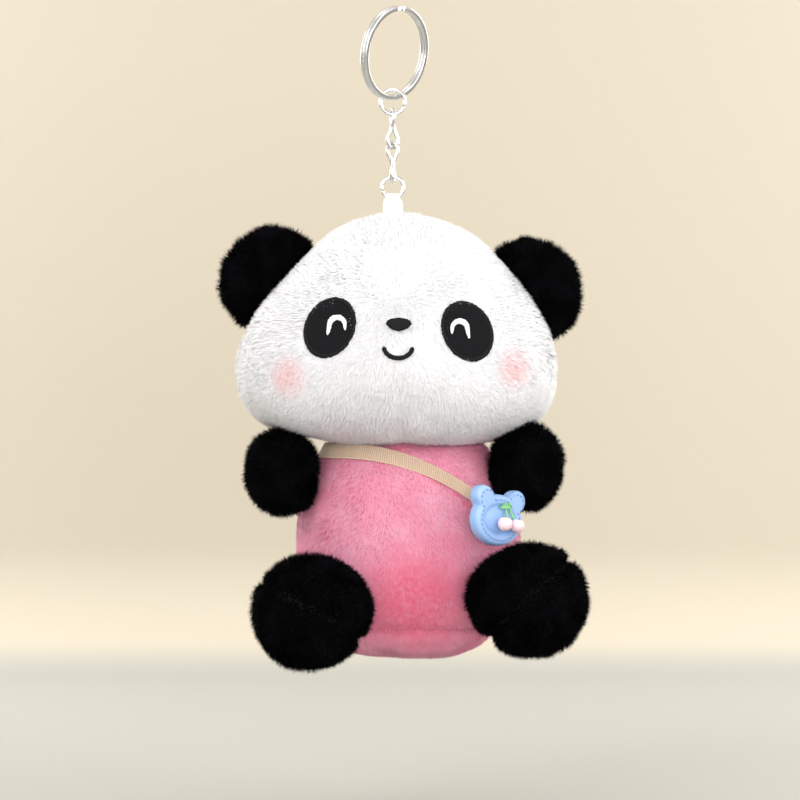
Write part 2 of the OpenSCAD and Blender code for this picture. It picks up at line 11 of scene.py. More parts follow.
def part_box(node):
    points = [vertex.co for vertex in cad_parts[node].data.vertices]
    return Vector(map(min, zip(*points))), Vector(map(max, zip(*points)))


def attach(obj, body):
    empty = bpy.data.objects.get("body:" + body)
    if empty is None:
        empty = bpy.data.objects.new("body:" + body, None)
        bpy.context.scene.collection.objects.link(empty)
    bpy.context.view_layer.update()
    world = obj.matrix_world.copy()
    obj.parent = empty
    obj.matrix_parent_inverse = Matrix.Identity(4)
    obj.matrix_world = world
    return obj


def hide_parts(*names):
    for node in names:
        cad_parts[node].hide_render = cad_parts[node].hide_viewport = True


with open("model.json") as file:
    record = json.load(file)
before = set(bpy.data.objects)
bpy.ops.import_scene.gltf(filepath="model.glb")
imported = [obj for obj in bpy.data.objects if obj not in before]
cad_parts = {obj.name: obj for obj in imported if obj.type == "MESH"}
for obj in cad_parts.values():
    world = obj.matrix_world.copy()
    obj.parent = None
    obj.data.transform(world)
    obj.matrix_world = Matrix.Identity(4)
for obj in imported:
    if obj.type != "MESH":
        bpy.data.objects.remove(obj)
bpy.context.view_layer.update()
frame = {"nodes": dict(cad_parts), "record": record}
MM = 0.001
rng = np.random.default_rng(7)

# ---------------------------------------------------------------- dimensions
RING_OD = 25.4 * MM          # split ring, outside
RING_BAND = 1.3 * MM         # its flat wire, towards the middle
RING_TURN = 1.0 * MM         # each turn
CHAIN_WIRE = 1.0 * MM        # jump rings and links
LINK_WIDTH = 5.4 * MM
LINK_TWIST = 70              # from one end of a link to the other, degrees
LINK_LIE = 35                # how far a link's hooked end is turned from the view, degrees
LINK_PINCH = 0.6             # how far a link is drawn in at its middle
LOOP_THICK = 0.4 * MM        # ribbon of the hanging loop
BAG_YAW = 43                 # the bag's turn to the panda's left, degrees
BAG_ROLL = 8.5               # the bag's lean, degrees
PATCH_W, PATCH_L = 12.3 * MM, 15.7 * MM  # felt of an eye patch, inside its stitched edge
PATCH_SLANT = 27             # degrees
WHITE_PILE = 1.9 * MM        # length of the head's pile
PINK_PILE = 1.7 * MM         # length of the body's pile
BLACK_PILE = 2.5 * MM        # length of the pile on ears, arms and legs
CLOTH_THICK = 0.5 * MM       # backing of the pile
PRESSURE = 4.0               # of the stuffing on the cloth
CLOTH_SCALE = 12.0           # the cloth is stuffed this much larger, where its settings behave
CLOTH_FRAMES = 16
BODY_VOXEL = 2.2 * MM        # evenness of the head's and body's skin

# ------------------------------------------------------------------- helpers
def corners(*nodes):
    """Lowest and highest corner of several CAD nodes together."""
    boxes = [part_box(n) for n in nodes]
    low = np.min([np.array(b[0]) for b in boxes], 0)
    high = np.max([np.array(b[1]) for b in boxes], 0)
    return low, high


def middle(*nodes):
    low, high = corners(*nodes)
    return (low + high) / 2


def cad_points(*nodes):
    """Every vertex of some CAD nodes, in the row frame."""
    found = []
    for n in nodes:
        o = frame["nodes"][n]
        v = np.empty(len(o.data.vertices) * 3)
        o.data.vertices.foreach_get("co", v)
        m = np.array(o.matrix_world)
        found.append(v.reshape(-1, 3) @ m[:3, :3].T + m[:3, 3])
    return np.concatenate(found)


def new_object(name, verts, faces, material=None, smooth=True):
    mesh = bpy.data.meshes.new(name)
    mesh.from_pydata([tuple(map(float, v)) for v in verts], [], [tuple(map(int, f)) for f in faces])
    mesh.validate()
    mesh.update()
    return place(name, mesh, material, smooth)


def place(name, mesh, material=None, smooth=True):
    o = bpy.data.objects.new(name, mesh)
    bpy.context.scene.collection.objects.link(o)
    mesh.shade_smooth() if smooth else mesh.shade_flat()
    if material:
        mesh.materials.clear()
        mesh.materials.append(material)
    return o


def coords(mesh):
    v = np.empty(len(mesh.vertices) * 3)
    mesh.vertices.foreach_get("co", v)
    return v.reshape(-1, 3)


def set_coords(mesh, v):
    mesh.vertices.foreach_set("co", np.ascontiguousarray(v, dtype=np.float32).ravel())
    mesh.update()


def normals(mesh):
    n = np.empty(len(mesh.vertices) * 3)
    mesh.vertices.foreach_get("normal", n)
    return n.reshape(-1, 3)


def baked(o):
    """The object's evaluated mesh as a plain mesh, with its modifiers gone."""
    depsgraph = bpy.context.evaluated_depsgraph_get()
    made = o.evaluated_get(depsgraph)
    mesh = bpy.data.meshes.new_from_object(made, preserve_all_data_layers=True, depsgraph=depsgraph)
    o.modifiers.clear()
    o.data = mesh
    return o


def tidy_normals(o):
    bm = bmesh.new()
    bm.from_mesh(o.data)
    bmesh.ops.remove_doubles(bm, verts=bm.verts, dist=1e-7)
    bmesh.ops.recalc_face_normals(bm, faces=bm.faces)
    bm.to_mesh(o.data)
    bm.free()
    return o


def ring_faces(rings, sides, first=0):
    """Faces between closed rings of points that follow one another."""
    faces = []
    for i in range(rings - 1):
        for k in range(sides):
            n, here, ahead = (k + 1) % sides, first + i * sides, first + (i + 1) * sides
            faces.append((here + k, here + n, ahead + n, ahead + k))
    return faces


def end_caps(rings, sides, first=0):
    last = first + (rings - 1) * sides
    return [tuple(range(first, first + sides)), tuple(range(last, last + sides))[::-1]]


def attribute(mesh, name, kind, values):
    a = mesh.attributes.get(name) or mesh.attributes.new(name, kind, "POINT")
    a.data.foreach_set("vector" if kind == "FLOAT_VECTOR" else "value",
                       np.ascontiguousarray(values, dtype=np.float32).ravel())


def swell(p, centre, radius):
    """1 at the centre, falling to 0 over the radius."""
    return np.exp(-np.sum(((p - centre) / radius) ** 2, axis=1))


def waves(p, size, seed):
    """Smooth random values from -1 to 1 that change over the given size."""
    r = np.random.default_rng(seed)
    total = np.zeros(len(p))
    for _ in range(9):
        d = r.normal(size=3)
        d /= np.linalg.norm(d)
        total += np.sin(p @ d * 2 * math.pi / size * r.uniform(0.6, 1.6) + r.uniform(0, 6.3))
    return total / 4.5


# ------------------------------------------------------------ shader groups
def group(name, inputs, outputs):
    tree = bpy.data.node_groups.new(name, "ShaderNodeTree")
    for label, kind, value in inputs:
        s = tree.interface.new_socket(label, in_out="INPUT", socket_type=kind)
        s.default_value = value
    for label, kind in outputs:
        tree.interface.new_socket(label, in_out="OUTPUT", socket_type=kind)
    return tree, tree.nodes.new("NodeGroupInput"), tree.nodes.new("NodeGroupOutput")


def add(tree, kind, **settings):
    n = tree.nodes.new(kind)
    for key, value in settings.items():
        setattr(n, key, value)
    return n


def math_node(tree, operation, a, b=None, clamp=False):
    n = add(tree, "ShaderNodeMath", operation=operation, use_clamp=clamp)
    for i, value in enumerate((a, b)):
        if value is None:
            continue
        if hasattr(value, "links"):
            tree.links.new(value, n.inputs[i])
        else:
            n.inputs[i].default_value = value
    return n.outputs[0]


def vector_math(tree, operation, a, b=None, scale=None):
    n = add(tree, "ShaderNodeVectorMath", operation=operation)
    tree.links.new(a, n.inputs[0])
    if b is not None:
        tree.links.new(b, n.inputs[1])
    if scale is not None:
        if hasattr(scale, "links"):
            tree.links.new(scale, n.inputs["Scale"])
        else:
            n.inputs["Scale"].default_value = scale
    return n.outputs["Value" if operation in ("LENGTH", "DISTANCE", "DOT_PRODUCT") else "Vector"]


def mix_colours(tree, factor, a, b, mode="MIX"):
    n = add(tree, "ShaderNodeMix", data_type="RGBA", blend_type=mode)
    for socket, value in ((n.inputs[0], factor), (n.inputs[6], a), (n.inputs[7], b)):
        if hasattr(value, "links"):
            tree.links.new(value, socket)
        else:
            socket.default_value = value
    return n.outputs[2]


def noise_value(tree, scale, detail=3.0, roughness=0.55, vector=None):
    n = add(tree, "ShaderNodeTexNoise")
    n.inputs["Detail"].default_value = detail
    n.inputs["Roughness"].default_value = roughness
    if hasattr(scale, "links"):
        tree.links.new(scale, n.inputs["Scale"])
    else:
        n.inputs["Scale"].default_value = scale
    if vector is None:
        vector = add(tree, "ShaderNodeTexCoord").outputs["Object"]
    tree.links.new(vector, n.inputs["Vector"])
    return n.outputs["Fac"]


def ranged(tree, value, settings, smooth=False):
    """A value carried from one range to another; sockets left out keep 0 to 1."""
    n = add(tree, "ShaderNodeMapRange", interpolation_type="SMOOTHSTEP" if smooth else "LINEAR")
    for label, number in settings.items():
        n.inputs[label].default_value = number
    tree.links.new(value, n.inputs["Value"])
    return n.outputs[0]


def attribute_value(tree, name):
    return add(tree, "ShaderNodeAttribute", attribute_name=name).outputs["Fac"]


def pile_group():
    """Colour of pile: painted shade darker at the root, patches of painted sheen towards the tips, painted
    shade along the seams, each fibre its own.
    """
    tree, gin, gout = group("pile_colour", [
        ("Root", "NodeSocketColor", (0.1, 0.1, 0.1, 1)),
        ("Tip", "NodeSocketColor", (0.5, 0.5, 0.5, 1)),
        ("Painted Sheen", "NodeSocketColor", (0.6, 0.6, 0.6, 1)),
        ("Patch Scale", "NodeSocketFloat", 60.0)], [("Colour", "NodeSocketColor")])
    # root colour darker than the tip: painted shade between the fibres
    rise = math_node(tree, "POWER", attribute_value(tree, "fibre_along"), 0.7, clamp=True)
    base = mix_colours(tree, rise, gin.outputs["Root"], gin.outputs["Tip"])
    # lighter patches towards the tips: painted sheen
    patch = noise_value(tree, gin.outputs["Patch Scale"], 2.0)
    ramp = ranged(tree, patch, {"From Min": 0.4, "From Max": 0.66})
    painted_sheen = math_node(tree, "MULTIPLY", ramp, rise, clamp=True)
    colour = mix_colours(tree, painted_sheen, base, gin.outputs["Painted Sheen"])
    level = math_node(tree, "MULTIPLY_ADD", attribute_value(tree, "fibre_tone"), 0.2)
    level.node.inputs[2].default_value = 0.88
    # darker along the seams: painted shade
    seam_unshaded = math_node(tree, "SUBTRACT", 1.0, attribute_value(tree, "seam_shade"))
    level = math_node(tree, "MULTIPLY", level, seam_unshaded)
    tree.links.new(vector_math(tree, "SCALE", colour, scale=level), gout.inputs["Colour"])
    return tree


def thread_group():
    """Fine crossing threads, as on ribbon and felt, for a height."""
    tree, gin, gout = group("thread_height", [
        ("Scale", "NodeSocketFloat", 900.0)], [("Height", "NodeSocketFloat")])
    fine = noise_value(tree, gin.outputs["Scale"], 4.0, 0.7)
    tree.links.new(fine, gout.inputs["Height"])
    return tree


PILE = pile_group()
THREAD = thread_group()


def material(name, **settings):
    m = bpy.data.materials.new(name)
    m.use_nodes = True
    tree = m.node_tree
    shader = tree.nodes["Principled BSDF"]
    for key, value in settings.items():
        shader.inputs[key.replace("_", " ")].default_value = value
    return m, tree, shader


def bump(tree, shader, height, strength, distance):
    b = add(tree, "ShaderNodeBump")
    b.inputs["Strength"].default_value = strength
    b.inputs["Distance"].default_value = distance
    tree.links.new(height, b.inputs["Height"])
    tree.links.new(b.outputs[0], shader.inputs["Normal"])


def pile_material(name, root, tip, painted_sheen, patch=60.0, sheen=0.3, rough=0.85, shine=0.25, tint_spots=()):
    m, tree, shader = material(name, Roughness=rough)
    shader.inputs["Sheen Weight"].default_value = sheen
    shader.inputs["Sheen Roughness"].default_value = 0.45
    shader.inputs["Specular IOR Level"].default_value = shine
    g = add(tree, "ShaderNodeGroup", node_tree=PILE)
    g.inputs["Root"].default_value = root
    g.inputs["Tip"].default_value = tip
    g.inputs["Painted Sheen"].default_value = painted_sheen
    g.inputs["Patch Scale"].default_value = patch
    colour = g.outputs["Colour"]
    # spots of another colour, speckled, fading out over their radius
    for centre, radius, tint in tint_spots:
        place_at = add(tree, "ShaderNodeTexCoord").outputs["Object"]
        away = add(tree, "ShaderNodeVectorMath", operation="DISTANCE")
        away.inputs[1].default_value = centre
        tree.links.new(place_at, away.inputs[0])
        reach = {"From Min": radius, "From Max": radius * 0.15}
        fade = ranged(tree, away.outputs["Value"], reach, smooth=True)
        speckle = math_node(tree, "MULTIPLY", fade, noise_value(tree, 700.0, 2.0))
        amount = math_node(tree, "MULTIPLY", speckle, 1.3, clamp=True)
        colour = mix_colours(tree, amount, colour, tint)
    tree.links.new(colour, shader.inputs["Base Color"])
    shape = add(tree, "ShaderNodeNewGeometry")
    facing = math_node(tree, "MULTIPLY_ADD", shape.outputs["Backfacing"], -2.0)
    facing.node.inputs[2].default_value = 1.0
    outward = vector_math(tree, "SCALE", shape.outputs["Normal"], scale=facing)
    tree.links.new(outward, shader.inputs["Normal"])
    return m


def cloth_material(name, colour, deep, rough=0.9, scale=900.0, sheen=0.2, shine=0.3):
    """Backing cloth, felt and thread: fine fibres with a slow change of tone."""
    m, tree, shader = material(name, Roughness=rough)
    shader.inputs["Sheen Weight"].default_value = sheen
    shader.inputs["Specular IOR Level"].default_value = shine
    tone = noise_value(tree, 260.0, 4.0)
    tree.links.new(mix_colours(tree, tone, deep, colour), shader.inputs["Base Color"])
    g = add(tree, "ShaderNodeGroup", node_tree=THREAD)
    g.inputs["Scale"].default_value = scale
    bump(tree, shader, g.outputs["Height"], 0.6, 0.0002)
    return m


def metal_material():
    m, tree, shader = material("nickel_plate", Metallic=1.0)
    tone = mix_colours(tree, noise_value(tree, 240.0, 3.0), (0.62, 0.62, 0.64, 1), (0.82, 0.82, 0.83, 1))
    tree.links.new(tone, shader.inputs["Base Color"])
    worn = ranged(tree, noise_value(tree, 900.0, 4.0), {"To Min": 0.1, "To Max": 0.28})
    tree.links.new(worn, shader.inputs["Roughness"])
    bump(tree, shader, noise_value(tree, 1500.0, 2.0), 0.08, 0.0001)
    return m


# ----------------------------------------------------------- geometry groups
def socket_id(tree, label):
    return next(s.identifier for s in tree.interface.items_tree if s.name == label and s.in_out == "INPUT")


def geo_tree(name, inputs):
    tree = bpy.data.node_groups.new(name, "GeometryNodeTree")
    tree.interface.new_socket("Geometry", in_out="INPUT", socket_type="NodeSocketGeometry")
    for label, kind in inputs:
        tree.interface.new_socket(label, in_out="INPUT", socket_type=kind)
    tree.interface.new_socket("Geometry", in_out="OUTPUT", socket_type="NodeSocketGeometry")
    return tree, tree.nodes.new("NodeGroupInput"), tree.nodes.new("NodeGroupOutput")


def named(tree, name, kind="FLOAT"):
    n = add(tree, "GeometryNodeInputNamedAttribute", data_type=kind)
    n.inputs["Name"].default_value = name
    return n.outputs["Attribute"]


def store(tree, geometry, name, value, kind="FLOAT", domain="POINT"):
    n = add(tree, "GeometryNodeStoreNamedAttribute", data_type=kind, domain=domain)
    n.inputs["Name"].default_value = name
    tree.links.new(geometry, n.inputs["Geometry"])
    tree.links.new(value, n.inputs["Value"])
    return n.outputs["Geometry"]


def pile_tree():
    """Fibres over a cloth: their place is random, their lean follows the comb."""
    tree, gin, gout = geo_tree("plush_pile", [
        ("Fibres", "NodeSocketObject"), ("Density", "NodeSocketFloat"),
        ("Length", "NodeSocketFloat"), ("Width", "NodeSocketFloat"),
        ("Mess", "NodeSocketFloat"), ("Softness", "NodeSocketFloat"),
        ("Seed", "NodeSocketInt"), ("Material", "NodeSocketMaterial")])
    spread = add(tree, "GeometryNodeDistributePointsOnFaces", distribute_method="RANDOM")
    tree.links.new(gin.outputs["Geometry"], spread.inputs["Mesh"])
    tree.links.new(gin.outputs["Seed"], spread.inputs["Seed"])
    masked = math_node(tree, "MULTIPLY", gin.outputs["Density"], named(tree, "pile_mask"))
    tree.links.new(masked, spread.inputs["Density"])
    points = store(tree, spread.outputs["Points"], "skin_normal", spread.outputs["Normal"], "FLOAT_VECTOR")
    tone = add(tree, "FunctionNodeRandomValue", data_type="FLOAT")
    tone.inputs["Seed"].default_value = 3
    points = store(tree, points, "fibre_tone", tone.outputs[1])
    stray = add(tree, "FunctionNodeRandomValue", data_type="FLOAT_VECTOR")
    stray.inputs[0].default_value = (-1, -1, -1)
    stray.inputs[1].default_value = (1, 1, 1)
    lean = vector_math(tree, "ADD", spread.outputs["Normal"], named(tree, "pile_comb", "FLOAT_VECTOR"))
    messy = vector_math(tree, "SCALE", stray.outputs[0], scale=gin.outputs["Mess"])
    lean = vector_math(tree, "ADD", lean, messy)
    aim = add(tree, "FunctionNodeAlignRotationToVector", axis="Z")
    tree.links.new(lean, aim.inputs["Vector"])
    under = vector_math(tree, "SCALE", spread.outputs["Normal"], scale=-1.0)
    flat = add(tree, "FunctionNodeAlignRotationToVector", axis="Y", pivot_axis="Z")
    tree.links.new(aim.outputs["Rotation"], flat.inputs["Rotation"])
    tree.links.new(under, flat.inputs["Vector"])
    turn = add(tree, "FunctionNodeRandomValue", data_type="FLOAT")
    turn.inputs[2].default_value = -1.1
    turn.inputs[3].default_value = 1.1
    turn.inputs["Seed"].default_value = 5
    spin = add(tree, "FunctionNodeAxisAngleToRotation")
    spin.inputs["Axis"].default_value = (0, 0, 1)
    tree.links.new(turn.outputs[1], spin.inputs["Angle"])
    rotate = add(tree, "FunctionNodeRotateRotation", rotation_space="LOCAL")
    tree.links.new(flat.outputs["Rotation"], rotate.inputs["Rotation"])
    tree.links.new(spin.outputs["Rotation"], rotate.inputs["Rotate By"])
    long = add(tree, "FunctionNodeRandomValue", data_type="FLOAT")
    long.inputs[2].default_value = 0.7
    long.inputs[3].default_value = 1.15
    long.inputs["Seed"].default_value = 9
    height = math_node(tree, "MULTIPLY", long.outputs[1], gin.outputs["Length"])
    height = math_node(tree, "MULTIPLY", height, named(tree, "pile_length"))
    size = add(tree, "ShaderNodeCombineXYZ")
    tree.links.new(gin.outputs["Width"], size.inputs["X"])
    tree.links.new(height, size.inputs["Y"])
    tree.links.new(height, size.inputs["Z"])
    fibre = add(tree, "GeometryNodeObjectInfo")
    tree.links.new(gin.outputs["Fibres"], fibre.inputs["Object"])
    grow = add(tree, "GeometryNodeInstanceOnPoints")
    tree.links.new(points, grow.inputs["Points"])
    tree.links.new(fibre.outputs["Geometry"], grow.inputs["Instance"])
    tree.links.new(rotate.outputs["Rotation"], grow.inputs["Rotation"])
    tree.links.new(size.outputs["Vector"], grow.inputs["Scale"])
    real = add(tree, "GeometryNodeRealizeInstances")
    tree.links.new(grow.outputs["Instances"], real.inputs["Geometry"])
    own = add(tree, "GeometryNodeInputNormal")
    facing = add(tree, "ShaderNodeMix", data_type="VECTOR")
    tree.links.new(gin.outputs["Softness"], facing.inputs[0])
    tree.links.new(own.outputs["Normal"], facing.inputs[4])
    tree.links.new(named(tree, "skin_normal", "FLOAT_VECTOR"), facing.inputs[5])
    soft = add(tree, "GeometryNodeSetMeshNormal", mode="FREE", domain="POINT")
    tree.links.new(real.outputs["Geometry"], soft.inputs["Mesh"])
    tree.links.new(facing.outputs[1], soft.inputs["Custom Normal"])
    finish = add(tree, "GeometryNodeSetMaterial")
    tree.links.new(soft.outputs["Mesh"], finish.inputs["Geometry"])
    tree.links.new(gin.outputs["Material"], finish.inputs["Material"])
    tree.links.new(finish.outputs["Geometry"], gout.inputs["Geometry"])
    return tree


def stitch_tree():
    """A thread on each point, laid along that point's own direction and length."""
    tree, gin, gout = geo_tree("laid_threads", [
        ("Thread", "NodeSocketObject"), ("Width", "NodeSocketFloat"), ("Material", "NodeSocketMaterial")])
    first = add(tree, "FunctionNodeAlignRotationToVector", axis="X")
    tree.links.new(named(tree, "lay_along", "FLOAT_VECTOR"), first.inputs["Vector"])
    second = add(tree, "FunctionNodeAlignRotationToVector", axis="Z", pivot_axis="X")
    tree.links.new(first.outputs["Rotation"], second.inputs["Rotation"])
    tree.links.new(named(tree, "lay_up", "FLOAT_VECTOR"), second.inputs["Vector"])
    size = add(tree, "ShaderNodeCombineXYZ")
    tree.links.new(named(tree, "lay_span"), size.inputs["X"])
    tree.links.new(gin.outputs["Width"], size.inputs["Y"])
    tree.links.new(gin.outputs["Width"], size.inputs["Z"])
    thread = add(tree, "GeometryNodeObjectInfo")
    tree.links.new(gin.outputs["Thread"], thread.inputs["Object"])
    lay = add(tree, "GeometryNodeInstanceOnPoints")
    tree.links.new(gin.outputs["Geometry"], lay.inputs["Points"])
    tree.links.new(thread.outputs["Geometry"], lay.inputs["Instance"])
    tree.links.new(second.outputs["Rotation"], lay.inputs["Rotation"])
    tree.links.new(size.outputs["Vector"], lay.inputs["Scale"])
    real = add(tree, "GeometryNodeRealizeInstances")
    tree.links.new(lay.outputs["Instances"], real.inputs["Geometry"])
    finish = add(tree, "GeometryNodeSetMaterial")
    tree.links.new(real.outputs["Geometry"], finish.inputs["Geometry"])
    tree.links.new(gin.outputs["Material"], finish.inputs["Material"])
    tree.links.new(finish.outputs["Geometry"], gout.inputs["Geometry"])
    return tree


PILE_TREE = pile_tree()
STITCH_TREE = stitch_tree()


def fibre_pattern():
    """One fibre, a unit long, tapering and bent a little."""
    rows = [(0.0, 0.5, 0.0), (0.5, 0.42, 0.10), (1.0, 0.0, 0.32)]
    verts = [(-rows[0][1], 0, 0), (rows[0][1], 0, 0),
             (-rows[1][1], rows[1][2], 0.52), (rows[1][1], rows[1][2], 0.52), (0, rows[2][2], 1.0)]
    o = new_object("fibre_pattern", verts, [(0, 1, 3), (0, 3, 2), (2, 3, 4)])
    attribute(o.data, "fibre_along", "FLOAT", [0, 0, 0.5, 0.5, 1])
    return o


def thread_pattern():
    """One laid thread a unit long, round, with its ends turned down."""
    ring, verts = 6, []
    stations = [(-0.5, 0.25, -0.6), (-0.42, 0.5, -0.1), (0.0, 0.55, 0.12),
                (0.42, 0.5, -0.1), (0.5, 0.25, -0.6)]
    for x, r, z in stations:
        for k in range(ring):
            a = 2 * math.pi * k / ring
            verts.append((x, r * math.cos(a), z + r * math.sin(a)))
    low, high = end_caps(len(stations), ring)
    faces = ring_faces(len(stations), ring) + [low[::-1], high[::-1]]
    return tidy_normals(new_object("thread_pattern", verts, faces))


FIBRE = fibre_pattern()
THREAD_SHAPE = thread_pattern()


def run_tree(o, tree, **values):
    mod = o.modifiers.new("made", "NODES")
    mod.node_group = tree
    for label, value in values.items():
        mod[socket_id(tree, label)] = value
    bpy.context.view_layer.update()
    return baked(o)


def grow_pile(panel, name, density, length, width, mess, softness, seed, finish):
    """The pile on one panel, as its own piece."""
    mesh = panel.data.copy()
    o = bpy.data.objects.new(name, mesh)
    bpy.context.scene.collection.objects.link(o)
    run_tree(o, PILE_TREE, Fibres=FIBRE, Density=density, Length=length, Width=width,
             Mess=mess, Softness=softness, Seed=seed, Material=finish)
    return o


def lay_threads(name, places, along, up, span, width, finish):
    o = new_object(name, places, [])
    attribute(o.data, "lay_along", "FLOAT_VECTOR", along)
    attribute(o.data, "lay_up", "FLOAT_VECTOR", up)
    attribute(o.data, "lay_span", "FLOAT", span)
    run_tree(o, STITCH_TREE, Thread=THREAD_SHAPE, Width=width, Material=finish)
    return o


# ---------------------------------------------------------------- materials
nickel = metal_material()
# root colour darker than the tip: painted shade between the fibres; the third, lighter colour: painted sheen
black_pile = pile_material("black_pile", (0.0004, 0.0004, 0.0005, 1), (0.0018, 0.0018, 0.0022, 1),
                           (0.0042, 0.0042, 0.0055, 1), patch=150.0, sheen=0.0, rough=0.8, shine=0.015)
# a deeper rose spot, speckled, over the lower middle of the front
belly = middle("body_front") * np.array([1, 0, 1]) + np.array([0.003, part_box("body_front")[0][1], -0.019])
# root colour darker than the tip: painted shade between the fibres; the third, lighter colour: painted sheen
pink_pile = pile_material("pink_pile", (0.99, 0.34, 0.48, 1), (0.99, 0.35, 0.50, 1),
                          (0.99, 0.48, 0.63, 1), patch=80.0, sheen=0.03, shine=0.05,
                          tint_spots=[(tuple(belly), 21 * MM, (0.93, 0.12, 0.22, 1))])
cheeks = [middle("face_panel") + np.array([x, 0, z]) * MM for x, z in ((-28.4, -13.9), (31.2, -11.5))]
white_cloth = cloth_material("white_cloth", (0.96, 0.96, 0.965, 1), (0.92, 0.92, 0.93, 1))
pink_cloth = cloth_material("pink_cloth", (0.9, 0.24, 0.36, 1), (0.84, 0.18, 0.3, 1))
black_cloth = cloth_material("black_cloth", (0.003, 0.003, 0.003, 1), (0.0015, 0.0015, 0.0015, 1), sheen=0.0)
felt = cloth_material("black_felt", (0.008, 0.008, 0.01, 1), (0.003, 0.003, 0.004, 1),
                      scale=1400.0, sheen=0.02, shine=0.15)
black_thread = cloth_material("black_thread", (0.004, 0.004, 0.005, 1), (0.0015, 0.0015, 0.002, 1),
                              rough=0.6, sheen=0.0, shine=0.2)
white_thread = cloth_material("white_thread", (0.9, 0.9, 0.9, 1), (0.78, 0.78, 0.78, 1), rough=0.5)
wadding = cloth_material("wadding", (0.9, 0.9, 0.88, 1), (0.7, 0.7, 0.68, 1), scale=300.0)


# --------------------------------------------------------------- soft bodies
def hull_of(name, nodes, voxel, smooth=10):
    """A closed even skin round some CAD nodes."""
    bm = bmesh.new()
    for v in np.unique(cad_points(*nodes).round(6), axis=0):
        bm.verts.new(v)
    found = bmesh.ops.convex_hull(bm, input=bm.verts)
    inside = {g for g in found["geom_interior"] + found["geom_unused"] if isinstance(g, bmesh.types.BMVert)}
    bmesh.ops.delete(bm, geom=list(inside), context="VERTS")
    mesh = bpy.data.meshes.new(name)
    bm.to_mesh(mesh)
    bm.free()
    o = place(name, mesh)
    remesh = o.modifiers.new("even", "REMESH")
    remesh.mode = "VOXEL"
    remesh.voxel_size = voxel
    relax = o.modifiers.new("relax", "SMOOTH")
    relax.factor = 0.5
    relax.iterations = smooth
    return baked(o)


def stuff(o, seams, cap):
    """Blows the skin up a little between its seams, which hold it in."""
    start = coords(o.data)
    held = np.zeros(len(start))
    for d in seams:
        held = np.maximum(held, np.exp(-(d(start) / (0.8 * MM)) ** 2))
    pins = o.vertex_groups.new(name="seams")
    for i in np.nonzero(held > 0.3)[0]:
        pins.add([int(i)], float(held[i]), "REPLACE")
    set_coords(o.data, start * CLOTH_SCALE)
    cloth = o.modifiers.new("stuffing", "CLOTH")
    cloth.settings.quality = 5
    cloth.settings.mass = 0.3
    cloth.settings.use_pressure = True
    cloth.settings.uniform_pressure_force = PRESSURE
    cloth.settings.vertex_group_mass = "seams"
    cloth.settings.tension_stiffness = 8
    cloth.settings.compression_stiffness = 8
    cloth.settings.effector_weights.gravity = 0
    cloth.collision_settings.use_collision = False
    scene = bpy.context.scene
    for f in range(1, CLOTH_FRAMES + 1):
        scene.frame_set(f)
    baked(o)
    scene.frame_set(1)
    moved = coords(o.data) / CLOTH_SCALE - start
    far = np.linalg.norm(moved, axis=1, keepdims=True)
    set_coords(o.data, start + moved * np.minimum(1, cap / np.maximum(far, 1e-9)))
    o.vertex_groups.clear()
    return o


def refine(o, levels=1):
    sub = o.modifiers.new("fine", "SUBSURF")
    sub.levels = sub.render_levels = levels
    return baked(o)


def seam_pull(p, n, seams, depth, width):
    """Skin drawn in along its seams, with small puckers."""
    pull = np.zeros(len(p))
    for d in seams:
        away = d(p)
        pucker = 1 + 0.5 * waves(p, 4.5 * MM, 11)
        pull += depth * np.exp(-(away / width) ** 2) * pucker
    return p - n * pull[:, None]


def comb_fields(o, base, seams, mess_size, seed, strength=0.45, part=0.7, crop=0.5, bare=None,
                seam_shade_amount=0.1):
    """Pile length, lean, bare places and painted shade along the seams as attributes of the skin."""
    mesh = o.data
    p, n = coords(mesh), normals(mesh)
    swirl = np.stack([waves(p, mess_size, seed + k) for k in range(3)], 1) * strength
    comb = base(p, n) + swirl
    length = 1 + 0.12 * waves(p, mess_size * 0.7, seed + 5)
    shade = np.zeros(len(p))
    for d in seams:
        away = d(p)
        near = np.exp(-(away / (2.2 * MM)) ** 2)
        e = 0.05 * MM
        slope = np.stack([(d(p + np.eye(3)[k] * e) - away) / e for k in range(3)], 1)
        comb += slope * (np.sign(away) * near * part)[:, None]
        length *= 1 - crop * np.exp(-(away / (0.9 * MM)) ** 2)
        # painted shade along the seams, darkening the pile there
        shade = np.maximum(shade, seam_shade_amount * np.exp(-(away / (0.6 * MM)) ** 2))
    comb -= n * np.sum(comb * n, axis=1, keepdims=True) * 0.8
    mask = np.ones(len(p)) if bare is None else bare(p, n)
    attribute(mesh, "pile_comb", "FLOAT_VECTOR", comb)
    attribute(mesh, "pile_length", "FLOAT", np.clip(length, 0.15, 1.6))
    attribute(mesh, "pile_mask", "FLOAT", mask)
    attribute(mesh, "seam_shade", "FLOAT", shade)


def panel_of(skin, name, rule, finish):
    """The faces of a skin whose middles meet the rule, as a piece of cloth."""
    bm = bmesh.new()
    bm.from_mesh(skin.data)
    middles = np.array([f.calc_center_median() for f in bm.faces])
    keep = rule(middles)
    bmesh.ops.delete(bm, geom=[f for f, k in zip(list(bm.faces), keep) if not k], context="FACES")
    mesh = bpy.data.meshes.new(name)
    bm.to_mesh(mesh)
    bm.free()
    return place(name, mesh, finish)


def back_cloth(panel):
    wall = panel.modifiers.new("backing", "SOLIDIFY")
    wall.thickness = CLOTH_THICK
    wall.offset = -1
    return baked(panel)


def wadding_core(name, skin, node, body, inset):
    """The wadding inside a skin: the same shape, smaller and lumpy."""
    mesh = skin.data.copy()
    p, n = coords(mesh), normals(mesh)
    lump = 0.7 * MM * waves(p, 9 * MM, 31) + 0.25 * MM * waves(p, 3 * MM, 37)
    set_coords(mesh, p - n * (inset + np.abs(lump))[:, None])
    o = place(name, mesh, wadding)
    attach(o, body)
    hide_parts(node)
    return o


def plane(point, normal):
    point, normal = np.array(point), np.array(normal) / np.linalg.norm(normal)
    return lambda p: (p - point) @ normal


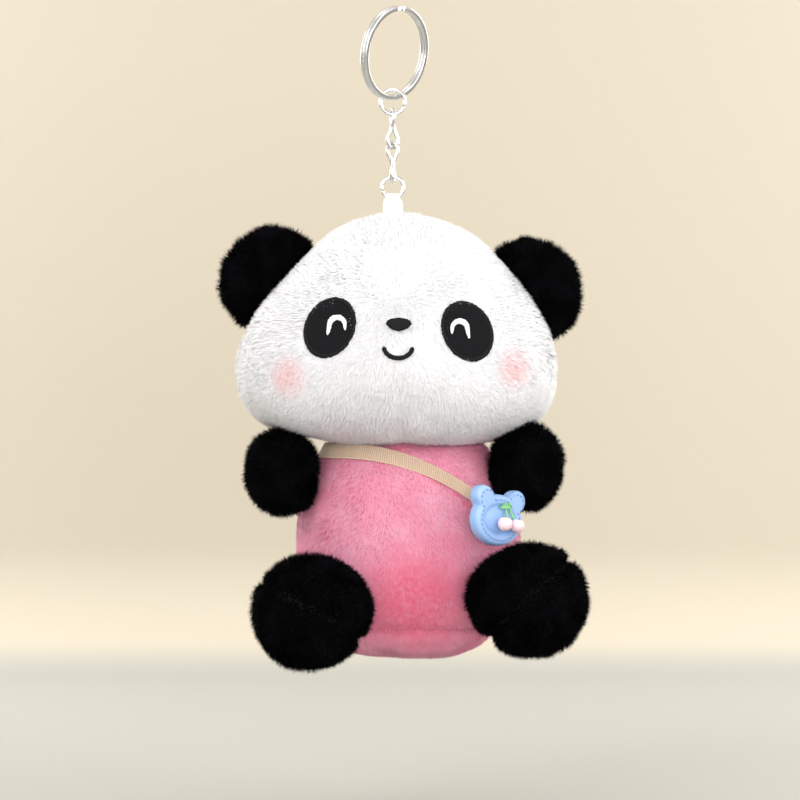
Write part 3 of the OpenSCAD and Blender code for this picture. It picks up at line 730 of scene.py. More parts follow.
def finish_soft(skin, body, panels, cloth_finish, pile_finish, core, pile):
    """Splits a skin into its panels, grows their pile and hands them over."""
    for k, (node, rule) in enumerate(panels):
        panel = panel_of(skin, node + "_cloth", rule, cloth_finish)
        fur = grow_pile(panel, node + "_pile", seed=pile["seed"] + k, finish=pile_finish,
                        **{key: v for key, v in pile.items() if key != "seed"})
        back_cloth(panel)
        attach(panel, body)
        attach(fur, body)
        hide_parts(node)
    wadding_core(core + "_core", skin, core, body, 1.6 * MM)
    bpy.data.objects.remove(skin)


# --------------------------------------------------------------------- head
HEAD_NODES = ("face_panel", "head_back_left", "head_back_right")
head_low, head_high = corners(*HEAD_NODES)
head_mid = (head_low + head_high) / 2
crown_x = middle("hanging_loop")[0] + 1.2 * MM
side_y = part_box("face_panel")[1][1]
eyes = [middle("right_eye_patch"), middle("left_eye_patch")]
nose_at = middle("nose")
mouth_at = middle("mouth")
side_seam = plane((0, side_y, 0), (0, 1, 0))
back_line = plane((crown_x - 0.6 * MM, 0, 0), (1, 0, 0.026))


def back_seam(p):
    d = back_line(p)
    return np.where(p[:, 1] > side_y, d, 1.0)


def shape_head(o):
    mesh = o.data
    p, n = coords(mesh), normals(mesh)
    p = seam_pull(p, n, [side_seam, back_seam], 0.5 * MM, 1.6 * MM)
    out = np.zeros(len(p))
    for e in eyes:
        out += 1.1 * MM * swell(p, e + np.array([0, 0, 11 * MM]), 9 * MM)
        out -= 0.7 * MM * swell(p, e, 8 * MM)
    out += 1.5 * MM * swell(p, (nose_at + mouth_at) / 2 + np.array([0, 0, -2 * MM]), 12 * MM)
    for c in cheeks:
        c = np.array([c[0], p[:, 1].min() + 10 * MM, c[2]])
        out += 1.2 * MM * swell(p, c, 14 * MM)
    chin = np.array([mouth_at[0] + 1 * MM, p[:, 1].min() + 6 * MM, head_low[2] + 5 * MM])
    crease = np.exp(-((p[:, 0] - chin[0]) / (1.6 * MM)) ** 2) * swell(p, chin, 11 * MM)
    out -= 1.0 * MM * crease
    for side in (-1, 1):
        jowl = np.array([head_mid[0] + side * 41 * MM, side_y, cheeks[0][2] + 2 * MM])
        out += 1.1 * MM * swell(p, jowl, 17 * MM)
    out -= 2.6 * MM * swell(p, np.array([-0.031, side_y, -0.057]), 13 * MM)
    out -= 0.8 * MM * swell(p, np.array([0.033, side_y, -0.060]), 12 * MM)
    out += 0.35 * MM * waves(p, 26 * MM, 3)
    set_coords(mesh, p + n * out[:, None])


def bare_face(p, n):
    mask = np.ones(len(p))
    front = n[:, 1] < 0
    for e, slant in zip(eyes, (-1, 1)):
        d = p - e
        a = math.radians(PATCH_SLANT) * slant
        u = d[:, 0] * math.cos(a) + d[:, 2] * math.sin(a)
        v = -d[:, 0] * math.sin(a) + d[:, 2] * math.cos(a)
        inside = (u / (5.6 * MM)) ** 2 + (v / (7.4 * MM)) ** 2 < 1
        mask[front & inside] = 0
    return mask


head = hull_of("head_skin", HEAD_NODES, BODY_VOXEL)
stuff(head, [side_seam, back_seam], 1.0 * MM)
refine(head)
shape_head(head)


def head_comb(p, n):
    away = p - np.array([nose_at[0], p[:, 1].min(), nose_at[2]])
    away[:, 2] -= 12 * MM
    away /= np.maximum(np.linalg.norm(away, axis=1, keepdims=True), 1e-6)
    return away * 1.05 + np.array([0, 0, -0.15])


comb_fields(head, head_comb, [side_seam, back_seam], 22 * MM, 40, part=0.35, bare=bare_face)
head_tree = BVHTree.FromPolygons([tuple(v) for v in coords(head.data)],
                                 [tuple(f.vertices) for f in head.data.polygons])


def on_face(x, z, lift=0.0):
    """A point on the front of the head, lifted off it, and the normal there."""
    hit, normal, _, _ = head_tree.ray_cast(Vector((x, -0.2, z)), Vector((0, 1, 0)))
    if hit is None:
        hit, normal, _, _ = head_tree.find_nearest(Vector((x, head_low[1], z)))
    normal = normal if normal.y < 0 else -normal
    return np.array(hit + normal * lift), np.array(normal)


tint_spots = [(tuple(on_face(c[0], c[2])[0]), 7.4 * MM, (0.95, 0.52, 0.54, 1)) for c in cheeks]
# root colour darker than the tip: painted shade between the fibres; the third, lighter colour: painted sheen
white_pile = pile_material("white_pile", (0.90, 0.89, 0.91, 1), (0.915, 0.91, 0.93, 1),
                           (0.93, 0.925, 0.95, 1), patch=50.0, sheen=0.1, tint_spots=tint_spots)
finish_soft(
    head, "panda",
    [("face_panel", lambda c: c[:, 1] < side_y),
     ("head_back_left", lambda c: (c[:, 1] >= side_y) & (back_line(c) >= 0)),
     ("head_back_right", lambda c: (c[:, 1] >= side_y) & (back_line(c) < 0))],
    white_cloth, white_pile, "head_stuffing",
    dict(density=8.6e6, length=WHITE_PILE, width=0.24 * MM, mess=0.26, softness=0.98, seed=100))

# --------------------------------------------------------------------- face
def ellipse_cover(name, centre, w, h, slant, lift, crown, finish, rings=12, steps=72):
    """A low oval pad on the face, its edge turned down to the cloth."""
    verts, faces = [], []
    a = math.radians(slant)
    for i in range(rings + 1):
        k = i / rings
        up = lift + crown * (1 - k ** 6) ** 0.5 if i < rings else -0.3 * MM
        for j in range(steps if i else 1):
            t = 2 * math.pi * j / steps
            u, v = k * w / 2 * math.cos(t), k * h / 2 * math.sin(t)
            spot, _ = on_face(centre[0] + u * math.cos(a) - v * math.sin(a),
                              centre[2] + u * math.sin(a) + v * math.cos(a), up)
            verts.append(spot)
    for j in range(steps):
        n = (j + 1) % steps
        faces.append((0, 1 + j, 1 + n))
        for i in range(rings - 1):
            s, t = 1 + i * steps, 1 + (i + 1) * steps
            faces.append((s + j, t + j, t + n, s + n))
    o = tidy_normals(new_object(name, verts, faces, finish))
    if np.mean([f.normal.y for f in o.data.polygons]) > 0:
        o.data.flip_normals()
    wall = o.modifiers.new("felt", "SOLIDIFY")
    wall.thickness = 0.4 * MM
    wall.offset = -1
    return baked(o)


def stitch(rows, place, along, up, span):
    """One more thread: its middle, its direction, its upper side and its length."""
    for row, value in zip(rows, (place, along, up, span)):
        row.append(value)


def satin_oval_edge(name, centre, w, h, slant, lift, reach, count, finish):
    """Satin stitches side by side over the edge of an oval."""
    a = math.radians(slant)
    rows = [[], [], [], []]
    for j in range(count):
        t = 2 * math.pi * j / count
        ends = []
        for k in (1 - reach, 1 + reach * 0.45):
            u, v = k * w / 2 * math.cos(t), k * h / 2 * math.sin(t)
            ends.append(on_face(centre[0] + u * math.cos(a) - v * math.sin(a),
                                centre[2] + u * math.sin(a) + v * math.cos(a), lift))
        (p, n), (q, m) = ends
        stitch(rows, (p + q) / 2, q - p, n + m, np.linalg.norm(q - p) * rng.uniform(0.8, 1.35))
    return lay_threads(name, *rows, 0.42 * MM, finish)


def satin_line(name, points, width, lift, pitch, finish, thread=0.36 * MM, taper=0.0):
    """Satin stitches across a line on the face."""
    points = np.array(points)
    steps = np.linalg.norm(np.diff(points, axis=0), axis=1)
    run = np.concatenate([[0], np.cumsum(steps)])
    rows = [[], [], [], []]
    for s in np.arange(0, run[-1], pitch):
        x, z = np.interp(s, run, points[:, 0]), np.interp(s, run, points[:, 1])
        x2, z2 = np.interp(s + pitch, run, points[:, 0]), np.interp(s + pitch, run, points[:, 1])
        x1, z1 = np.interp(s - pitch, run, points[:, 0]), np.interp(s - pitch, run, points[:, 1])
        d = np.array([x2 - x1, z2 - z1])
        d /= max(np.linalg.norm(d), 1e-9)
        end = min(s, run[-1] - s) / (width * 0.5)
        swollen = 1 - taper * abs(2 * s / run[-1] - 1) ** 1.6
        half = swollen * width / 2 * math.sqrt(max(0.16, min(1, end * (2 - min(end, 2)) if end < 1 else 1)))
        p, _ = on_face(x - d[1] * half, z + d[0] * half, lift)
        q, _ = on_face(x + d[1] * half, z - d[0] * half, lift)
        mid, up = on_face(x, z, lift)
        stitch(rows, mid, q - p, up, np.linalg.norm(q - p) * rng.uniform(0.86, 1.16))
    return lay_threads(name, *rows, thread, finish)


for side, word in ((-1, "right"), (1, "left")):
    node = word + "_eye_patch"
    at = middle(node)
    pad = ellipse_cover(node + "_felt", at, PATCH_W, PATCH_L, PATCH_SLANT * side, 0.8 * MM, 0.35 * MM, felt)
    edge = satin_oval_edge(node + "_edge", at, PATCH_W, PATCH_L, PATCH_SLANT * side, 0.95 * MM, 0.1, 190,
                           black_thread)
    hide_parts(node)
    low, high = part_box(word + "_eye_arc")
    x0, z0 = (low[0] + high[0]) / 2 - side * 0.5 * MM, (low[2] + high[2]) / 2
    r = 2.0 * MM
    arc = [(x0 + side * -(r + 0.1 * MM), z0 - 1.1 * MM)]
    arc += [(x0 - side * r * math.cos(a), z0 + 0.2 * MM + r * math.sin(a))
            for a in np.linspace(0, math.pi, 15)]
    arc += [(x0 + side * (r + 0.25 * MM), z0 - 1.2 * MM), (x0 + side * (r + 0.5 * MM), z0 - 2.4 * MM)]
    eye = satin_line(word + "_eye_arc_thread", arc, 1.45 * MM, 1.5 * MM, 0.22 * MM, white_thread, taper=0.6)
    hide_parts(word + "_eye_arc")
    for o, s in ((pad, "black_thread"), (edge, "black_thread"), (eye, "white_thread")):
        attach(o, "panda")

low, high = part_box("mouth")
mx, mz = (low[0] + high[0]) / 2, high[2] - 0.5 * MM
smile = [(mx + 3.6 * MM * math.cos(a), mz + 2.7 * MM * math.sin(a))
         for a in np.linspace(math.pi, 2 * math.pi, 28)]
mouth = satin_line("mouth_thread", smile, 1.15 * MM, WHITE_PILE * 0.62, 0.2 * MM, black_thread)
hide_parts("mouth")
nose_rows = [[], [], [], []]
for v in np.linspace(-1, 1, 19):
    half = 3.2 * MM * math.sqrt(max(0.05, 1 - abs(v) ** 2.2)) * (1 + 0.16 * v)
    z = nose_at[2] + v * 1.5 * MM
    p, _ = on_face(nose_at[0] - half, z, WHITE_PILE * 0.62)
    q, _ = on_face(nose_at[0] + half, z, WHITE_PILE * 0.62)
    mid, up = on_face(nose_at[0], z, WHITE_PILE * 0.7 + 0.35 * MM * (1 - v * v))
    stitch(nose_rows, mid, q - p, up, np.linalg.norm(q - p) * rng.uniform(0.94, 1.04))
nose = lay_threads("nose_thread", *nose_rows, 0.42 * MM, black_thread)
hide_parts("nose")
for o in (mouth, nose):
    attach(o, "panda")

# --------------------------------------------------------------------- body
BODY_NODES = ("body_front", "body_back", "base_panel")
body_mid = middle("body_front", "body_back")
body_high = corners(*BODY_NODES)[1]
base_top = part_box("base_panel")[1][2]
body_side = plane((0, body_mid[1], 0), (0, 1, 0))
base_seam = plane((0, 0, base_top), (0, 0, 1))


def body_side_seam(p):
    return np.where(p[:, 2] > base_top, body_side(p), 1.0)


strap_points = np.unique(cad_points("bag_strap").round(6), axis=0)


def round_body(p):
    """Plan angle of points about the body's upright line."""
    return np.arctan2(p[:, 1] - body_mid[1], p[:, 0] - body_mid[0])


def under_strap(p, n):
    """No pile under the strap, which presses it flat."""
    order = np.argsort(round_body(strap_points))
    heights = np.pad(strap_points[order, 2], 4, "wrap")
    heights = np.convolve(heights, np.ones(9) / 9, "valid")
    level = np.interp(round_body(p), round_body(strap_points)[order], heights)
    return np.where(np.abs(p[:, 2] - level) < 1.5 * MM, 0.0, 1.0)


body = hull_of("body_skin", BODY_NODES, BODY_VOXEL)
stuff(body, [body_side_seam, base_seam], 1.0 * MM)
refine(body)
p, n = coords(body.data), normals(body.data)
p = seam_pull(p, n, [body_side_seam, base_seam], 0.6 * MM, 1.5 * MM)
hip = np.array([body_high[0] - 2 * MM, body_mid[1] - 3 * MM, base_top + 18 * MM])
fuller = 0.3 * MM * waves(p, 24 * MM, 8) + 1.8 * MM * swell(p, hip, 15 * MM)
set_coords(body.data, p + n * fuller[:, None])
# strong painted shade along the side and base seams
comb_fields(body, lambda p, n: np.tile([0.12, 0, -0.85], (len(p), 1)), [body_side_seam, base_seam],
            13 * MM, 60, strength=0.4, crop=0.75, bare=under_strap, seam_shade_amount=0.6)
finish_soft(
    body, "panda",
    [("body_front", lambda c: (c[:, 1] < body_mid[1]) & (c[:, 2] > base_top)),
     ("body_back", lambda c: (c[:, 1] >= body_mid[1]) & (c[:, 2] > base_top)),
     ("base_panel", lambda c: c[:, 2] <= base_top)],
    pink_cloth, pink_pile, "body_stuffing",
    dict(density=1.35e7, length=PINK_PILE, width=0.19 * MM, mess=0.36, softness=0.97, seed=200))

# ---------------------------------------------------------------------- ears
for side, word in ((-1, "right"), (1, "left")):
    nodes = (word + "_ear_front", word + "_ear_back")
    ear_low, ear_high = corners(*nodes)
    ear_mid = (ear_low + ear_high) / 2
    rim = plane(ear_mid, (0, 1, 0))
    ear = hull_of(word + "_ear_skin", nodes, 1.5 * MM, 6)
    stuff(ear, [rim], 0.8 * MM)
    refine(ear)
    p, n = coords(ear.data), normals(ear.data)
    set_coords(ear.data, p + n * (0.35 * MM * waves(p, 12 * MM, 5))[:, None])
    out = ear_mid - head_mid
    comb_fields(ear, lambda p, n: (p - ear_mid) / (14 * MM) * 0.55 + np.array([side * 0.2, 0, 0.1]), [rim],
                8 * MM, 70 + side, strength=0.7, part=0.35)
    finish_soft(
        ear, "panda",
        [(nodes[0], lambda c: c[:, 1] < ear_mid[1]), (nodes[1], lambda c: c[:, 1] >= ear_mid[1])],
        black_cloth, black_pile, word + "_ear_stuffing",
        dict(density=2.0e7, length=BLACK_PILE * 1.3, width=0.2 * MM, mess=0.5, softness=0.5,
             seed=300 + side * 10))


# --------------------------------------------------------------------- limbs
def limb(word, kind, nodes, voxel, split, seed, comb, density, fold, slim=1.0):
    """An arm or a leg: two panels with long black pile, sewn round its length."""
    body_name = word + "_" + kind
    low, high = corners(*nodes)
    mid = (low + high) / 2
    seam = plane(mid, split)
    skin = hull_of(body_name + "_skin", nodes, voxel, 8)
    stuff(skin, [seam], 0.4 * MM)
    refine(skin)
    p, n = coords(skin.data), normals(skin.data)
    p = seam_pull(p, n, [seam], fold, 1.4 * MM)
    p[:, 0] = mid[0] + (p[:, 0] - mid[0]) * slim
    set_coords(skin.data, p + n * (0.35 * MM * waves(p, 13 * MM, seed))[:, None])
    comb_fields(skin, comb(mid), [seam], 9 * MM, seed, strength=0.65,
                part=1.3 * fold / MM, crop=0.9 * fold / MM)
    finish_soft(
        skin, body_name,
        [(nodes[0], lambda c: seam(c) >= 0), (nodes[1], lambda c: seam(c) < 0)],
        black_cloth, black_pile, body_name + "_stuffing",
        dict(density=density, length=BLACK_PILE * 1.1, width=0.2 * MM, mess=0.6, softness=0.5, seed=seed))


def outward_comb(reach):
    return lambda mid: (lambda p, n: (p - mid) / reach * 0.5 + np.array([0, 0, -0.25]))


for side, word in ((-1, "right"), (1, "left")):
    limb(word, "arm", (word + "_arm_outer", word + "_arm_inner"), 1.5 * MM, (0, 0.25, 1), 400 + side * 10,
         outward_comb(14 * MM), 1.5e7, 0.15 * MM)
    limb(word, "leg", (word + "_leg_upper", word + "_leg_under"), 1.8 * MM,
         (-0.68, 0.1, 0.73) if side > 0 else (0.48, 0.1, 0.87), 500 + side * 10,
         outward_comb(20 * MM), 1.3e7, 0.5 * MM, 0.93 if side > 0 else 0.97)

# --------------------------------------------------------------------- metal
ring_axis = np.array(next(m for m in frame["record"]["mounts"] if m["name"] == "key_ring")["axis"], float)
ring_axis /= np.linalg.norm(ring_axis)
ring_right = np.cross([0, 0, 1.0], ring_axis)
ring_right /= np.linalg.norm(ring_right)
ring_up = np.cross(ring_axis, ring_right)


def split_ring():
    """Two turns of flat wire with rounded edges, crossing over once."""
    w, t = RING_BAND / 2, RING_TURN / 2
    edge = 0.22 * MM
    outline = []
    for cx, cy, a0 in ((w - edge, t - edge, 0), (-w + edge, t - edge, 90),
                       (-w + edge, -t + edge, 180), (w - edge, -t + edge, 270)):
        for k in range(4):
            a = math.radians(a0 + 30 * k)
            outline.append((cx + edge * math.cos(a), cy + edge * math.sin(a)))
    count, turns, start = 300, 1.985, math.radians(95)
    r = (RING_OD - RING_BAND) / 2
    verts, c = [], len(outline)
    for i in range(count + 1):
        s = i / count * turns
        a = start + s * 2 * math.pi
        climb = np.clip((s - (turns / 2 - 0.04)) / 0.08, 0, 1)
        climb = climb * climb * (3 - 2 * climb)
        shift = (climb * 2 - 1) * (RING_TURN / 2 + 0.05 * MM)
        way = ring_right * math.cos(a) + ring_up * math.sin(a)
        taper = 1 - 0.6 * max(0, 1 - min(i, count - i) / 4)
        for u, v in outline:
            verts.append(way * (r + u) + ring_axis * (shift + v * taper))
    faces = ring_faces(count + 1, c) + end_caps(count + 1, c)
    return tidy_normals(new_object("split_ring_wire", verts, faces, nickel))


def wire_loop(name, way, closed, radius=CHAIN_WIRE / 2, sides=14):
    """A round wire swept along points."""
    way = np.array(way)
    n = len(way)
    verts, faces = [], []
    ahead = np.roll(way, -1, 0) - np.roll(way, 1, 0)
    if not closed:
        ahead[0], ahead[-1] = way[1] - way[0], way[-1] - way[-2]
    side = np.cross(ahead[0], [0.3, 1, 0.2])
    for i in range(n):
        t = ahead[i] / np.linalg.norm(ahead[i])
        side = side - t * (side @ t)
        side /= np.linalg.norm(side)
        other = np.cross(t, side)
        r = radius * (0.75 if not closed and i in (0, n - 1) else 1)
        for k in range(sides):
            a = 2 * math.pi * k / sides
            verts.append(way[i] + r * (math.cos(a) * side + math.sin(a) * other))
    first, last = np.array(verts[:sides]), np.array(verts[-sides:])
    apart = [np.linalg.norm(np.roll(first, -k, 0) - last) for k in range(sides)]
    twist = int(np.argmin(apart)) if closed else 0
    for i in range(n if closed else n - 1):
        shift = twist if i == n - 1 else 0
        for k in range(sides):
            m, here, ahead = (k + 1) % sides, i * sides, (i + 1) % n * sides
            faces.append((here + k, here + m, ahead + (m + shift) % sides, ahead + (k + shift) % sides))
    if not closed:
        faces += [tuple(range(sides)), tuple((n - 1) * sides + k for k in range(sides))[::-1]]
    return tidy_normals(new_object(name, verts, faces, nickel))


def jump_ring(node, slit_at):
    low, high = np.array(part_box(node)[0]), np.array(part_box(node)[1])
    mid, r = (low + high) / 2, (high[2] - low[2] - CHAIN_WIRE) / 2
    gap = 0.09 * MM / r
    way = [mid + r * np.array([math.cos(a), 0, math.sin(a)])
           for a in np.linspace(math.radians(slit_at) + gap, math.radians(slit_at + 360) - gap, 72)]
    return wire_loop(node + "_wire", way, False)


def bow(c, n):
    return math.copysign(abs(c) ** (2 / n), c)


def twisted_link(node, top_angle, turn=-LINK_TWIST):
    """An oval link twisted at its middle, so that each end is a round eye."""
    low, high = np.array(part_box(node)[0]), np.array(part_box(node)[1])
    mid = (low + high) / 2
    half, side = (high[2] - low[2] - CHAIN_WIRE) / 2, (LINK_WIDTH - CHAIN_WIRE) / 2
    way = []
    for i in range(96):
        t = 2 * math.pi * i / 96
        z = half * bow(math.sin(t), 2.3)
        quarter = math.pi / 2 * z / half
        out = side * bow(math.cos(t), 2.3) * (1 - LINK_PINCH * math.cos(quarter) ** 4)
        a = math.radians(top_angle + turn * (1 - math.sin(math.pi / 2 * math.sin(quarter))) / 2)
        way.append(mid + np.array([out * math.cos(a), out * math.sin(a), z]))
    return wire_loop(node + "_wire", way, True)


for node, body_name, piece in (
        ("split_ring", "ring", split_ring()),
        ("upper_jump_ring", "jump_ring_upper", jump_ring("upper_jump_ring", -20)),
        ("upper_link", "link_upper", twisted_link("upper_link", LINK_LIE + LINK_TWIST)),
        ("lower_link", "link_lower", twisted_link("lower_link", -LINK_LIE)),
        ("lower_jump_ring", "jump_ring_lower", jump_ring("lower_jump_ring", 195))):
    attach(piece, body_name)
    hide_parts(node)


# ----------------------------------------------------------- ribbon materials
def ribbon_material(name, colour, deep, ribs, rough, sheen, depth):
    """Woven ribbon: ribs across its length, with painted shade in the troughs between them, and a plain
    selvedge at its edges.
    """
    m, tree, shader = material(name, Roughness=rough)
    shader.inputs["Sheen Weight"].default_value = sheen
    uv = add(tree, "ShaderNodeUVMap", uv_map="ribbon").outputs["UV"]
    parts = add(tree, "ShaderNodeSeparateXYZ")
    tree.links.new(uv, parts.inputs[0])
    wave = math_node(tree, "SINE", math_node(tree, "MULTIPLY", parts.outputs["X"], ribs))
    wave = math_node(tree, "MULTIPLY_ADD", wave, 0.5)
    wave.node.inputs[2].default_value = 0.5
    weave = noise_value(tree, 1800.0, 3.0)
    height = math_node(tree, "MULTIPLY_ADD", weave, 0.35)
    tree.links.new(wave, height.node.inputs[2])
    edge = math_node(tree, "ABSOLUTE", math_node(tree, "SUBTRACT", parts.outputs["Y"], 0.5))
    selvedge = math_node(tree, "GREATER_THAN", edge, 0.43)
    # darker between the ribs: painted shade in the troughs
    tone = mix_colours(tree, wave, deep, colour)
    tree.links.new(mix_colours(tree, selvedge, tone, colour), shader.inputs["Base Color"])
    bump(tree, shader, height, 0.7, depth)
    return m


def ribbon_strip(name, left, right, thickness, finish, closed=False):
    """A woven strip between two edges, with a UV map along its length in mm."""
    left, right = np.array(left), np.array(right)
    n, across = len(left), 6
    verts, faces, uvs = [], [], []
    run = np.concatenate([[0], np.cumsum(np.linalg.norm(np.diff((left + right) / 2, axis=0), axis=1))]) / MM
    for i in range(n):
        for k in range(across + 1):
            verts.append(left[i] + (right[i] - left[i]) * k / across)
    last = np.linalg.norm((left[0] + right[0] - left[-1] - right[-1]) / 2) / MM + run[-1]
    for i in range(n if closed else n - 1):
        j = (i + 1) % n
        end = last if j == 0 else run[j]
        for k in range(across):
            here, ahead = i * (across + 1) + k, j * (across + 1) + k
            faces.append((here, here + 1, ahead + 1, ahead))
            near, far = k / across, (k + 1) / across
            uvs += [(run[i], near), (run[i], far), (end, far), (end, near)]
    mesh = bpy.data.meshes.new(name)
    mesh.from_pydata([tuple(v) for v in verts], [], faces)
    layer = mesh.uv_layers.new(name="ribbon")
    layer.data.foreach_set("uv", np.array(uvs, dtype=np.float32).ravel())
    o = place(name, mesh, finish)
    wall = o.modifiers.new("ribbon", "SOLIDIFY")
    wall.thickness = thickness
    wall.offset = 0
    return o


# second colour of each ribbon: painted shade between its ribs
satin = ribbon_material("white_satin", (0.9, 0.9, 0.9, 1), (0.8, 0.8, 0.81, 1), 30.0, 0.35, 0.2, 0.00006)
grosgrain = ribbon_material("tan_ribbon", (0.62, 0.46, 0.33, 1), (0.45, 0.32, 0.22, 1),
                            10.5, 0.8, 0.3, 0.00022)

# -------------------------------------------------------------- hanging loop
loop_low, loop_high = np.array(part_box("hanging_loop")[0]), np.array(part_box("hanging_loop")[1])
loop_mid = (loop_low + loop_high) / 2
pin_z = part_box("lower_jump_ring")[0][2] + CHAIN_WIRE / 2
inner = 1.1 * MM
left_edge, right_edge = [], []
path = [(-0.3 * MM, loop_low[2]), (-0.3 * MM, loop_low[2] + 2.2 * MM),
        (-0.62 * MM, pin_z - 3 * MM), (-1.0 * MM, pin_z - 1.2 * MM)]
path += [(-inner * math.cos(a), pin_z + inner * math.sin(a)) for a in np.linspace(0, math.pi, 13)]
path += [(-y, z) for y, z in path[3::-1]]
for y, z in path:
    above = max(0.0, min(1.0, (z - pin_z + 0.9 * MM) / (1.4 * MM)))
    half = (2.75 - 0.95 * above * above * (3 - 2 * above)) * MM
    left_edge.append((loop_mid[0] - half, loop_mid[1] + y, z))
    right_edge.append((loop_mid[0] + half, loop_mid[1] + y, z))
loop = ribbon_strip("hanging_loop_ribbon", right_edge, left_edge, LOOP_THICK, satin)
sub = loop.modifiers.new("smooth", "SUBSURF")
sub.levels = sub.render_levels = 2
baked(loop)
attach(loop, "panda")
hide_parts("hanging_loop")

# -------------------------------------------------------------------- strap
STRAP_STEP = 5               # between the strap's points, degrees round the body
around = np.round(np.degrees(round_body(strap_points)) / STRAP_STEP) * STRAP_STEP
low_edge, high_edge = [], []
for a in np.arange(-180, 180, STRAP_STEP):
    here = strap_points[around == a]
    if len(here) < 4:
        continue
    order = here[np.argsort(here[:, 2])]
    low_edge.append(order[:2].mean(0))
    high_edge.append(order[-2:].mean(0))
strap = ribbon_strip("bag_strap_ribbon", high_edge, low_edge, 0.5 * MM, grosgrain, closed=True)
sub = strap.modifiers.new("smooth", "SUBSURF")
sub.levels = sub.render_levels = 2
baked(strap)
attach(strap, "panda")
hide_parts("bag_strap")


# ---------------------------------------------------------------------- bag
def plastic_material(name, colour, deep, rough, coat, grain):
    m, tree, shader = material(name)
    shader.inputs["Coat Weight"].default_value = coat
    shader.inputs["Coat Roughness"].default_value = 0.2
    tone = noise_value(tree, 120.0, 3.0)
    tree.links.new(mix_colours(tree, tone, deep, colour), shader.inputs["Base Color"])
    worn = ranged(tree, noise_value(tree, 500.0, 4.0), {"To Min": rough - 0.08, "To Max": rough + 0.1})
    tree.links.new(worn, shader.inputs["Roughness"])
    bump(tree, shader, noise_value(tree, grain, 3.0), 0.12, 0.0002)
    return m


bag_blue = plastic_material("bag_blue", (0.32, 0.49, 0.80, 1), (0.27, 0.43, 0.75, 1), 0.42, 0.15, 900.0)
bag_face_blue = plastic_material("bag_face_blue", (0.29, 0.46, 0.79, 1), (0.24, 0.40, 0.74, 1),
                                 0.38, 0.2, 900.0)
# darker blue of the moulded stitches: painted shade of their grooves
dash_shade_blue = plastic_material("dash_shade_blue", (0.17, 0.26, 0.55, 1), (0.13, 0.2, 0.48, 1), 0.5, 0.0, 900.0)
cherry_pink = plastic_material("cherry_pink", (0.95, 0.70, 0.74, 1), (0.93, 0.62, 0.67, 1), 0.2, 0.6, 600.0)
leaf_green = plastic_material("leaf_green", (0.25, 0.58, 0.27, 1), (0.14, 0.44, 0.17, 1), 0.32, 0.3, 700.0)

yaw, roll = math.radians(BAG_YAW), math.radians(BAG_ROLL)
# the bag's own right, up and outward directions, as the CAD turns it
bag_right = np.array([math.cos(roll) * math.cos(yaw), math.cos(roll) * math.sin(yaw), -math.sin(roll)])
bag_up = np.array([math.sin(roll) * math.cos(yaw), math.sin(roll) * math.sin(yaw), math.cos(roll)])
bag_out = np.cross(bag_right, bag_up)
shell_points = cad_points("bag_shell")
bag_base = np.array([0.0, 0, 0])
for axis, value in ((bag_right, None), (bag_up, None), (bag_out, None)):
    reach = shell_points @ axis
    bag_base += axis * ((reach.min() + reach.max()) / 2 if axis is not bag_out else reach.min())
face_points = cad_points("bag_face")
face_up = face_points @ bag_up
bag_base += bag_up * ((face_up.min() + face_up.max()) / 2 - bag_base @ bag_up)
BAG_W, BAG_H, EAR_R = 17.0 * MM, 13.6 * MM, 2.9 * MM


def on_bag(u, v, w):
    return bag_base + bag_right * u + bag_up * v + bag_out * w


def bag_reach(angle, shrink=0.0):
    """Distance to the bag's outline in a direction: a broad oval with two ears."""
    c, s = math.cos(angle), math.sin(angle)
    face = 1 / math.hypot(c / (BAG_W / 2 - shrink), s / (BAG_H / 2 - shrink))
    best = face
    for side in (-1, 1):
        ex, ey, er = side * BAG_W * 0.36, BAG_H * 0.42, EAR_R - shrink
        b = c * ex + s * ey
        d = b * b - (ex * ex + ey * ey - er * er)
        if d > 0 and b > 0:
            best = max(best, b + math.sqrt(d))
    return best


def bag_body():
    """The moulded bag: rounded edges, a raised rim and a sunk face."""
    steps = 144
    profile = [(1.0, 0.0), (0.35, 0.0), (0.0, 0.45), (0.0, 1.9), (0.05, 2.8), (0.4, 3.35),
               (1.0, 3.58), (2.1, 3.62), (2.5, 3.5), (2.75, 3.05), (2.9, 2.8)]
    verts = []
    for shrink, w in profile:
        for j in range(steps):
            a = 2 * math.pi * j / steps
            r = bag_reach(a) - shrink * MM
            if shrink >= 1.2:
                wide, tall = BAG_W / 2 - shrink * MM, BAG_H / 2 - shrink * MM
                r = min(r, 1 / math.hypot(math.cos(a) / wide, math.sin(a) / tall))
            verts.append(on_bag(r * math.cos(a), r * math.sin(a), w * MM))
    faces = ring_faces(len(profile), steps)
    for row, w in ((0, 0.0), (len(profile) - 1, 2.8)):
        verts.append(on_bag(0, 0, w * MM))
        hub = len(verts) - 1
        for j in range(steps):
            faces.append((row * steps + j, row * steps + (j + 1) % steps, hub))
    o = tidy_normals(new_object("bag_shell_moulding", verts, faces, bag_blue))
    sub = o.modifiers.new("smooth", "SUBSURF")
    sub.levels = sub.render_levels = 1
    return baked(o)


def bag_panel():
    """The bag's face: a low cushion inside the rim."""
    steps, rings = 72, 10
    verts, faces = [on_bag(0, 0, 3.45 * MM)], []
    for i in range(1, rings + 1):
        k = i / rings
        for j in range(steps):
            a = 2 * math.pi * j / steps
            w = (2.85 + 0.6 * (1 - k ** 4)) * MM if i < rings else 2.4 * MM
            wide, tall = k * (BAG_W / 2 - 2.9 * MM), k * (BAG_H / 2 - 2.9 * MM)
            verts.append(on_bag(wide * math.cos(a), tall * math.sin(a), w))
    for j in range(steps):
        n = (j + 1) % steps
        faces.append((0, 1 + j, 1 + n))
        for i in range(rings - 1):
            s, t = 1 + i * steps, 1 + (i + 1) * steps
            faces.append((s + j, t + j, t + n, s + n))
    faces.append(tuple(1 + (rings - 1) * steps + j for j in range(steps))[::-1])
    return tidy_normals(new_object("bag_face_cushion", verts, faces, bag_face_blue))


